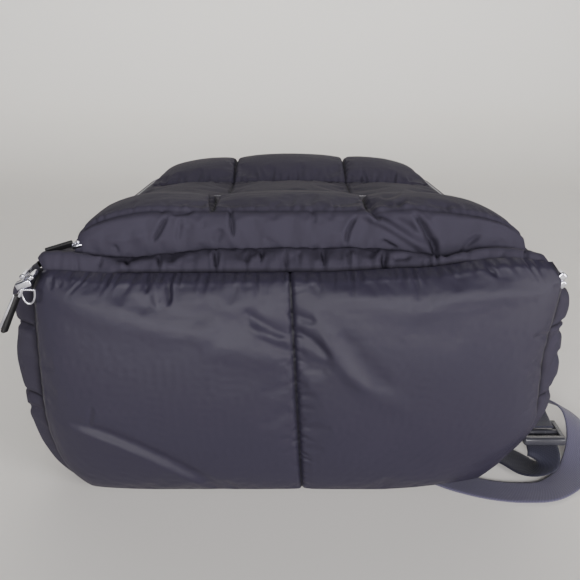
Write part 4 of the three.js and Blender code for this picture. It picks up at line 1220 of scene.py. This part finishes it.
def rod(start, end, size, bevel_by, spin=0.0):
    """A rounded bar from one point to another, in bag mm: size is its width and thickness."""
    a, b = np.array(start, float), np.array(end, float)
    o = block((a + b) / 2, (*size, np.linalg.norm(b - a)), bevel_by)
    turn = Vector(b - a).to_track_quat("Z", "Y")
    o.rotation_euler = (turn @ Quaternion((0, 0, 1), math.radians(spin))).to_euler()
    return o


def joined(name, objects):
    """One object from several, with their modifiers applied."""
    whole = bmesh.new()
    bpy.context.view_layer.update()
    for o in objects:
        mesh = bpy.data.meshes.new_from_object(o.evaluated_get(bpy.context.evaluated_depsgraph_get()))
        mesh.transform(o.matrix_world)
        whole.from_mesh(mesh)
        old = o.data
        bpy.data.objects.remove(o)
        bpy.data.meshes.remove(mesh)
        bpy.data.meshes.remove(old)
    mesh = bpy.data.meshes.new(name)
    whole.to_mesh(mesh)
    whole.free()
    mesh.polygons.foreach_set("use_smooth", [True] * len(mesh.polygons))
    return linked(name, mesh)


def d_ring(name, centre, width, height, wire, node):
    """A D-shaped wire ring that hangs with its straight side up."""
    t = np.linspace(0, np.pi, 22)
    bow = np.stack([width / 2 * np.cos(t), 0 * t, -height * np.sin(t) ** 0.8], -1)
    top = np.linspace([-width / 2, 0, 0], [width / 2, 0, 0], 8)[1:-1]
    path = np.concatenate([bow, top])
    ahead = unit(np.roll(path, -1, 0) - np.roll(path, 1, 0))
    side = np.array([0.0, 1.0, 0.0])
    up = np.cross(ahead, side)
    a = np.linspace(0, 2 * np.pi, 13)[:-1]
    c, k = np.cos(a)[None, :, None], np.sin(a)[None, :, None]
    ring = path[:, None] + wire / 2 * (c * side + k * up[:, None])
    ring = np.concatenate([ring, ring[:1]]) + np.array(centre, float)
    o = mesh_object(name, to_model(ring.reshape(-1, 3)), grid_faces(len(path) + 1, len(a), wrap=True))
    return finish(o, STEEL, [node])


# Where the hardware is, in bag mm, and how it leans, in degrees
SLIDER_AT = np.array([-142.5, -6.5, 139.0])
SLIDER_LEAN = -35
POCKET_SLIDER_AT = np.array([-121.5, 23.0, 149.2])
POCKET_SLIDER_LEAN = -12
STOP_AT = np.array([BASE_HALF_WIDTH + 4.0, -1.0, BASE_DEPTH - 1.0])
STOP_LEAN = 38
# The main pull's ends from its slider, and its metal edge's place beside it
PULL_START, PULL_END = (-4.4, -6.8, -6.5), (-14.5, -8.0, -28.5)
PULL_EDGE_OFF, PULL_EDGE_SHORT = (-1.3, -1.3, 0), (0, 0, 3)


def main_slider():
    """The main zip's slider at its left end, with its bridge, ring and pull."""
    at = SLIDER_AT
    body = joined("main_slider_metal", [
        block(at, (10.5, 11, 3.2), 1.3, lean=SLIDER_LEAN),
        block(at + (-1.6, -1.0, 2.8), (3.6, 9.5, 2.6), 1.1, lean=SLIDER_LEAN),
        block(at + (-1.0, -5.5, -1.4), (9.0, 3.4, 4.6), 1.2, lean=-20),
        rod(at + (-1.5, -6, -3), at + (-4.2, -7, -8), (3.2, 2.0), 0.7),
    ])
    finish(body, STEEL, ["main_slider"])
    d_ring("main_ring_wire", at + (1.4, -7.0, -4.0), width=7.2, height=8.0, wire=1.3, node="main_pull_ring")
    start, end = at + PULL_START, at + PULL_END
    tab = joined("pull", [rod(start, end, (4.6, 2.6), 1.0, spin=25)])
    finish(tab, RUBBER, ["main_pull_tab"])
    start, end = start + PULL_EDGE_OFF, end + PULL_EDGE_OFF + PULL_EDGE_SHORT
    edge = joined("pull_edge", [rod(start, end, (1.6, 1.6), 0.4)])
    finish(edge, STEEL)


def pocket_slider():
    """The pocket zip's slider beside the pocket's left end, with its flat pull lying on the roll."""
    at = POCKET_SLIDER_AT
    body = joined("pocket_slider_metal", [
        block(at, (6.5, 8.5, 2.6), 0.9, lean=POCKET_SLIDER_LEAN),
        block(at + (0, 0, 2.0), (2.6, 6.5, 1.8), 0.7, lean=POCKET_SLIDER_LEAN),
        rod(at + (-1.5, -1, 1.2), at + (-4.5, -2.5, 0.8), (2.4, 1.4), 0.5),
    ])
    finish(body, STEEL, ["pocket_slider"])
    start, end = at + (-3.0, -2.0, 1.4), at + (-17.0, -9.0, -1.4)
    tab = joined("pocket_pull", [rod(start, end, (4.4, 2.0), 0.7, spin=60)])
    finish(tab, RUBBER, ["pocket_pull_tab"])


def zip_stop():
    """The bright stop at the zip's right end, on the filled-out corner."""
    at = full_corner(STOP_AT)
    o = joined("zip_stop_metal", [
        block(at, (4.6, 6.0, 9.0), 1.0, lean=STOP_LEAN),
        block(at + (1.6, -2.6, -2.5), (3.4, 2.6, 4.5), 0.8, lean=STOP_LEAN),
    ])
    return finish(o, STEEL, ["main_zip_stop"])


def zips():
    main, main_teeth = chamfer_frame(main_line(0, 0)), chamfer_frame(main_line(*TEETH_START))
    tape("main_zip_tape_cloth", main, width=11.0, thickness=1.0, cord_at=2.2, node="main_zip_tape")
    teeth("main_zip_teeth", main_teeth, pitch=2.0, width=3.8, lift=1.1, node="main_zip_chain")
    low, high = pocket_frame(POCKET_TAPE_START, 0.5), pocket_frame(POCKET_TEETH_START, 2.0)
    tape("pocket_zip_tape_cloth", low, width=6.0, thickness=0.8, cord_at=1.7, node="pocket_zip_tape")
    zip_stop()
    main_slider()
    pocket_slider()
    teeth("pocket_zip_teeth", high, pitch=1.7, width=2.8, lift=0.4, node="pocket_zip_chain")


# Straps, webbing and handle
def closed_tube(name, ring, around, along, flip=False):
    """A closed solid through rings of points, with UVs from distances around and along it, all in mm."""
    rows, n = ring.shape[:2]
    faces = [tuple(f) for f in grid_faces(rows, n, wrap=True)]
    faces += [tuple(range(n))[::-1], tuple(range((rows - 1) * n, rows * n))]
    if flip:
        faces = [f[::-1] for f in faces]
    uv = np.stack(np.broadcast_arrays(around[None, :], along[:, None]), -1) * MM
    return mesh_object(name, to_model(ring.reshape(-1, 3)), faces, uv.reshape(-1, 2))


def ribbon(name, rows, width, thickness, material, node, steps):
    """A woven strip with rounded edges along a path through rows of x, y, z and lean in degrees."""
    r = np.array(rows, float)
    r = finer_axis(r, max(int(steps / (len(r) - 1)), 2), 0)
    p = r[:, :3]
    along = unit(np.gradient(p, axis=0))
    level = unit(np.stack([along[:, 1], -along[:, 0], 0 * along[:, 0]], -1))
    lean = np.radians(r[:, 3])[:, None]
    wide = level * np.cos(lean) + np.cross(level, along) * np.sin(lean)
    thick = np.cross(along, wide)
    across = np.linspace(-1, 1, 21)
    body = np.minimum(1, (1 - np.abs(across)) * 6 + 0.35)
    around = np.concatenate([across, across[::-1]]) * width / 2
    side = np.concatenate([body, -body[::-1]]) * thickness / 2
    ring = p[:, None] + wide[:, None] * around[None, :, None] + thick[:, None] * side[None, :, None]
    ring[..., 2] = np.maximum(ring[..., 2], 0.05)
    run = np.concatenate([[0], np.cumsum(np.linalg.norm(np.diff(p, axis=0), axis=1))])
    o = closed_tube(name, ring, around, run, flip=True)
    return finish(o, material, [node])


# The right shoulder strap's middle line: x, y and share of its full width
STRAP_LINE = [
    (42, 350, 0.8),
    (46, 332, 1),
    (58, 290, 1),
    (72, 250, 1),
    (84, 200, 1),
    (93, 160, 0.92),
    (99, 130, 0.78),
    (103, 110, 0.64),
]
STRAP_HALF_WIDTH = 31
STRAP_SQUARENESS = 4.0
STITCH_AT, STITCH_WIDTH, STITCH_DIP = 0.82, 0.05, 0.35


def squared(value):
    """A round section's cosine or sine, made squarer."""
    return np.sign(value) * np.abs(value) ** (2 / STRAP_SQUARENESS)


def strap(side, name, node):
    """A padded shoulder strap with a sewn edge, pressed flat under the bag."""
    r = finer_axis(np.array(STRAP_LINE, float), 10, 0)
    along = unit(np.gradient(r[:, :2], axis=0))
    a = np.linspace(0, 2 * np.pi, 49)[:-1]
    across, up = squared(np.cos(a))[None, :], squared(np.sin(a))[None, :]
    half = (STRAP_HALF_WIDTH * r[:, 2])[:, None]
    x = r[:, 0][:, None] - along[:, 1][:, None] * half * across
    y = r[:, 1][:, None] + along[:, 0][:, None] * half * across
    place = np.arange(len(r))
    ends = ellipse(np.minimum(place, place[::-1]) / 4.0)[:, None] * 0.9 + 0.1
    stitch = 1 - STITCH_DIP * bell(np.abs(across) - STITCH_AT, STITCH_WIDTH)
    z = STRAP_THICKNESS / 2 + 5.8 * up * stitch * ends
    z = z + 0.25 * ripple(x.shape, 70, 5) * (np.abs(up) < 0.9)
    ring = np.stack([side * x, y, np.clip(z, 0.1, STRAP_THICKNESS)], -1)
    o = closed_tube(name, ring, STRAP_HALF_WIDTH * across[0], r[:, 1], flip=side < 0)
    return finish(o, NYLON, [node])


# The webbing's routes: x, y, z and lean
LOOP_PATH = [
    (103.1, 109, 3, 0),
    (105.2, 98.5, 3, 0),
    (114, 86, 3, 0),
    (134, 80, 4, 0),
    (156, 84, 8, 10),
    (179, 81, 15, 30),
    (192, 63, 15, 34),
    (192, 38, 8, 22),
    (180, 13, 1.8, 4),
    (160, -5, 1, 0),
    (141, -8, 1, 0),
    (123, -5, 0.8, 0),
    (106, 2, 0.8, 0),
    (92, 11, 0.8, 0),
]
TAIL_PATH = [
    (162, 33, 13.4, 0),
    (162, 25, 13, 0),
    (161, 17, 10, 0),
    (158, 14, 5, 0),
    (152, 17, 1.8, 0),
    (145, 27, 1.4, 0),
    (136, 37, 1.4, 0),
]
ANCHOR_PATH = [
    (147.6, 74, 36, 0),
    (159, 62, 30, 0),
    (162, 50, 22, 0),
    (162, 43, 20.4, 0),
    (162, 35.5, 20.4, 0),
]
LEFT_PATH = [
    (-103, 109, 1, 0),
    (-106, 90, 1, 0),
    (-109, 76, 1, 0),
    (-112, 62, 1, 0),
]
# One half of the handle, which is the same on both sides
HANDLE_SIDE = [
    (30, 362, 10.3, 0),
    (30, 399, 10.3, 0),
    (27, 418.5, 11.8, 15),
    (13.5, 428.6, 13.3, 30),
]
HANDLE_PATH = [(-x, y, z, lean) for x, y, z, lean in HANDLE_SIDE] + [(0, 431, 13.7, 34)] + HANDLE_SIDE[::-1]
WEBBING_WIDTH, WEBBING_THICKNESS = 20, 1.4
HANDLE_WIDTH, HANDLE_THICKNESS = 22, 4


def straps():
    strap(1, "strap_right_pad", "strap_right")
    strap(-1, "strap_left_pad", "strap_left")
    size = (WEBBING_WIDTH, WEBBING_THICKNESS)
    ribbon("webbing_loop", LOOP_PATH, *size, WEBBING, "webbing_loop_right", steps=140)
    # The tail and the anchor take the webbing's darker copy, which is painted shade.
    ribbon("webbing_tail", TAIL_PATH, *size, SHADED_WEBBING, "webbing_tail_right", steps=60)
    ribbon("webbing_anchor", ANCHOR_PATH, *size, SHADED_WEBBING, "webbing_anchor_right", steps=60)
    ribbon("webbing_under", LEFT_PATH, *size, WEBBING, "webbing_left", steps=40)
    size = (HANDLE_WIDTH, HANDLE_THICKNESS)
    ribbon("grab_handle_strap", HANDLE_PATH, *size, WEBBING, "grab_handle", steps=120)


# A ladder-lock's rails, half its width apart, and its three bars: place along it, length and thickness
LOCK_HALF_WIDTH = 12
LOCK_RAIL = (3.2, 24, 4.4)
LOCK_BARS = ((-10, 27, 5.5), (0, 24, 3.6), (10, 27, 4.4))


def ladder_lock(name, centre, turn, node):
    """A ladder-lock: two rails and three rounded bars, turned in degrees about z."""
    angle = math.radians(turn)
    right = np.array([math.cos(angle), math.sin(angle), 0])
    ahead = np.array([-math.sin(angle), math.cos(angle), 0])
    middle = np.array(centre, float)
    sides = (-LOCK_HALF_WIDTH, LOCK_HALF_WIDTH)
    parts = [block(middle + x * right, LOCK_RAIL, 1.0, turn=turn) for x in sides]
    for at, length, thick in LOCK_BARS:
        parts.append(block(middle + at * ahead, (length, thick, thick), thick * 0.32, turn=turn))
    return finish(joined(name, parts), PLASTIC, [node])


def buckles():
    ladder_lock("ladder_lock_right", (163, 35, 17), 0, "buckle_right")
    ladder_lock("ladder_lock_left", (-105, 95, 4.25), -11.5, "buckle_left")


# The stage in metres: the floor's near end, where it starts to curve up, the curve's radius, and its sides
FLOOR_NEAR, FLOOR_BEND, FLOOR_RADIUS = -5.0, 1.5, 0.5
FLOOR_HALF_WIDTH, WALL_HEIGHT = 5, 4.0
FLOOR_BELOW = 0.0003


def backdrop():
    """A pale floor that curves up into a wall behind the bag."""
    turn = np.linspace(0.1, np.pi / 2, 12)
    y = [FLOOR_NEAR, FLOOR_BEND, *(FLOOR_BEND + FLOOR_RADIUS * np.sin(turn)), FLOOR_BEND + FLOOR_RADIUS]
    z = [0.0, 0.0, *(FLOOR_RADIUS - FLOOR_RADIUS * np.cos(turn)), WALL_HEIGHT]
    verts = [(x, b, c - FLOOR_BELOW) for b, c in zip(y, z) for x in (-FLOOR_HALF_WIDTH, FLOOR_HALF_WIDTH)]
    faces = [(2 * i, 2 * i + 1, 2 * i + 3, 2 * i + 2) for i in range(len(y) - 1)]
    floor = mesh_object("floor", verts, faces)
    paint = Nodes("floor_paint")
    paint.set(Base_Color=(0.82, 0.8, 0.76, 1), Roughness=0.7)
    floor.data.materials.append(paint.material)


# Sky light, brighter near the horizon: where each tone starts, from 0 to 1 going up, and its colour
SKY_LOW = (0.1, (0.95, 0.96, 1.0, 1))
SKY_HIGH = (0.75, (0.12, 0.12, 0.13, 1))
SKY_STRENGTH = 0.3


def sky():
    world = bpy.data.worlds.new("studio")
    bpy.context.scene.world = world
    world.use_nodes = True
    tree = world.node_tree
    direction = tree.nodes.new("ShaderNodeTexCoord")
    height = tree.nodes.new("ShaderNodeSeparateXYZ")
    tone = tree.nodes.new("ShaderNodeValToRGB")
    for element, (position, colour) in zip(tone.color_ramp.elements, (SKY_LOW, SKY_HIGH)):
        element.position = position
        element.color = colour
    tree.links.new(direction.outputs["Generated"], height.inputs[0])
    tree.links.new(height.outputs["Z"], tone.inputs["Fac"])
    background = tree.nodes["Background"]
    tree.links.new(tone.outputs["Color"], background.inputs[0])
    background.inputs[1].default_value = SKY_STRENGTH


# Soft lamps in metres and watts: name, place, what it points at, width and height, power, colour
LAMPS = [
    ("key", (-0.3, -2.1, 0.8), (0, 0, 0.08), (1.3, 0.6), 58, (1, 0.985, 0.99)),
    ("side", (1.5, -1.2, 0.45), (0.1, 0, 0.06), (0.8, 0.6), 30, (1, 0.97, 0.98)),
    ("wall", (0, 0.75, 2.2), (0, 3, 2.2), (3.0, 0.8), 90, (1, 1, 1)),
]


def area_light(name, place, aim, size, power, colour):
    lamp = bpy.data.lights.new(name, "AREA")
    lamp.shape = "RECTANGLE"
    lamp.size, lamp.size_y = size
    lamp.energy = power
    lamp.color = colour
    o = linked(name, lamp)
    o.location = place
    x, y, z = np.array(aim) - np.array(place)
    pitch = math.atan2(z, math.hypot(x, y)) + math.pi / 2
    yaw = math.atan2(y, x) - math.pi / 2
    o.rotation_euler = Euler((pitch, 0, yaw))


def camera():
    """The photograph's camera, in front of the base and a little above it."""
    o = linked("camera", bpy.data.cameras.new("camera"))
    o.data.sensor_width = 36
    o.data.lens = LENS
    o.location = to_model([0, *VIEW_FROM])
    o.rotation_euler = Euler((math.pi / 2 - VIEW_TILT, 0, 0))
    bpy.context.scene.camera = o


def plain(box):
    return [list(map(float, corner)) for corner in box]


for build in (front_panel, side_band, base_panel, pocket, back_panel, zips, straps, buckles, backdrop, sky):
    build()
for lamp_row in LAMPS:
    area_light(*lamp_row)
camera()
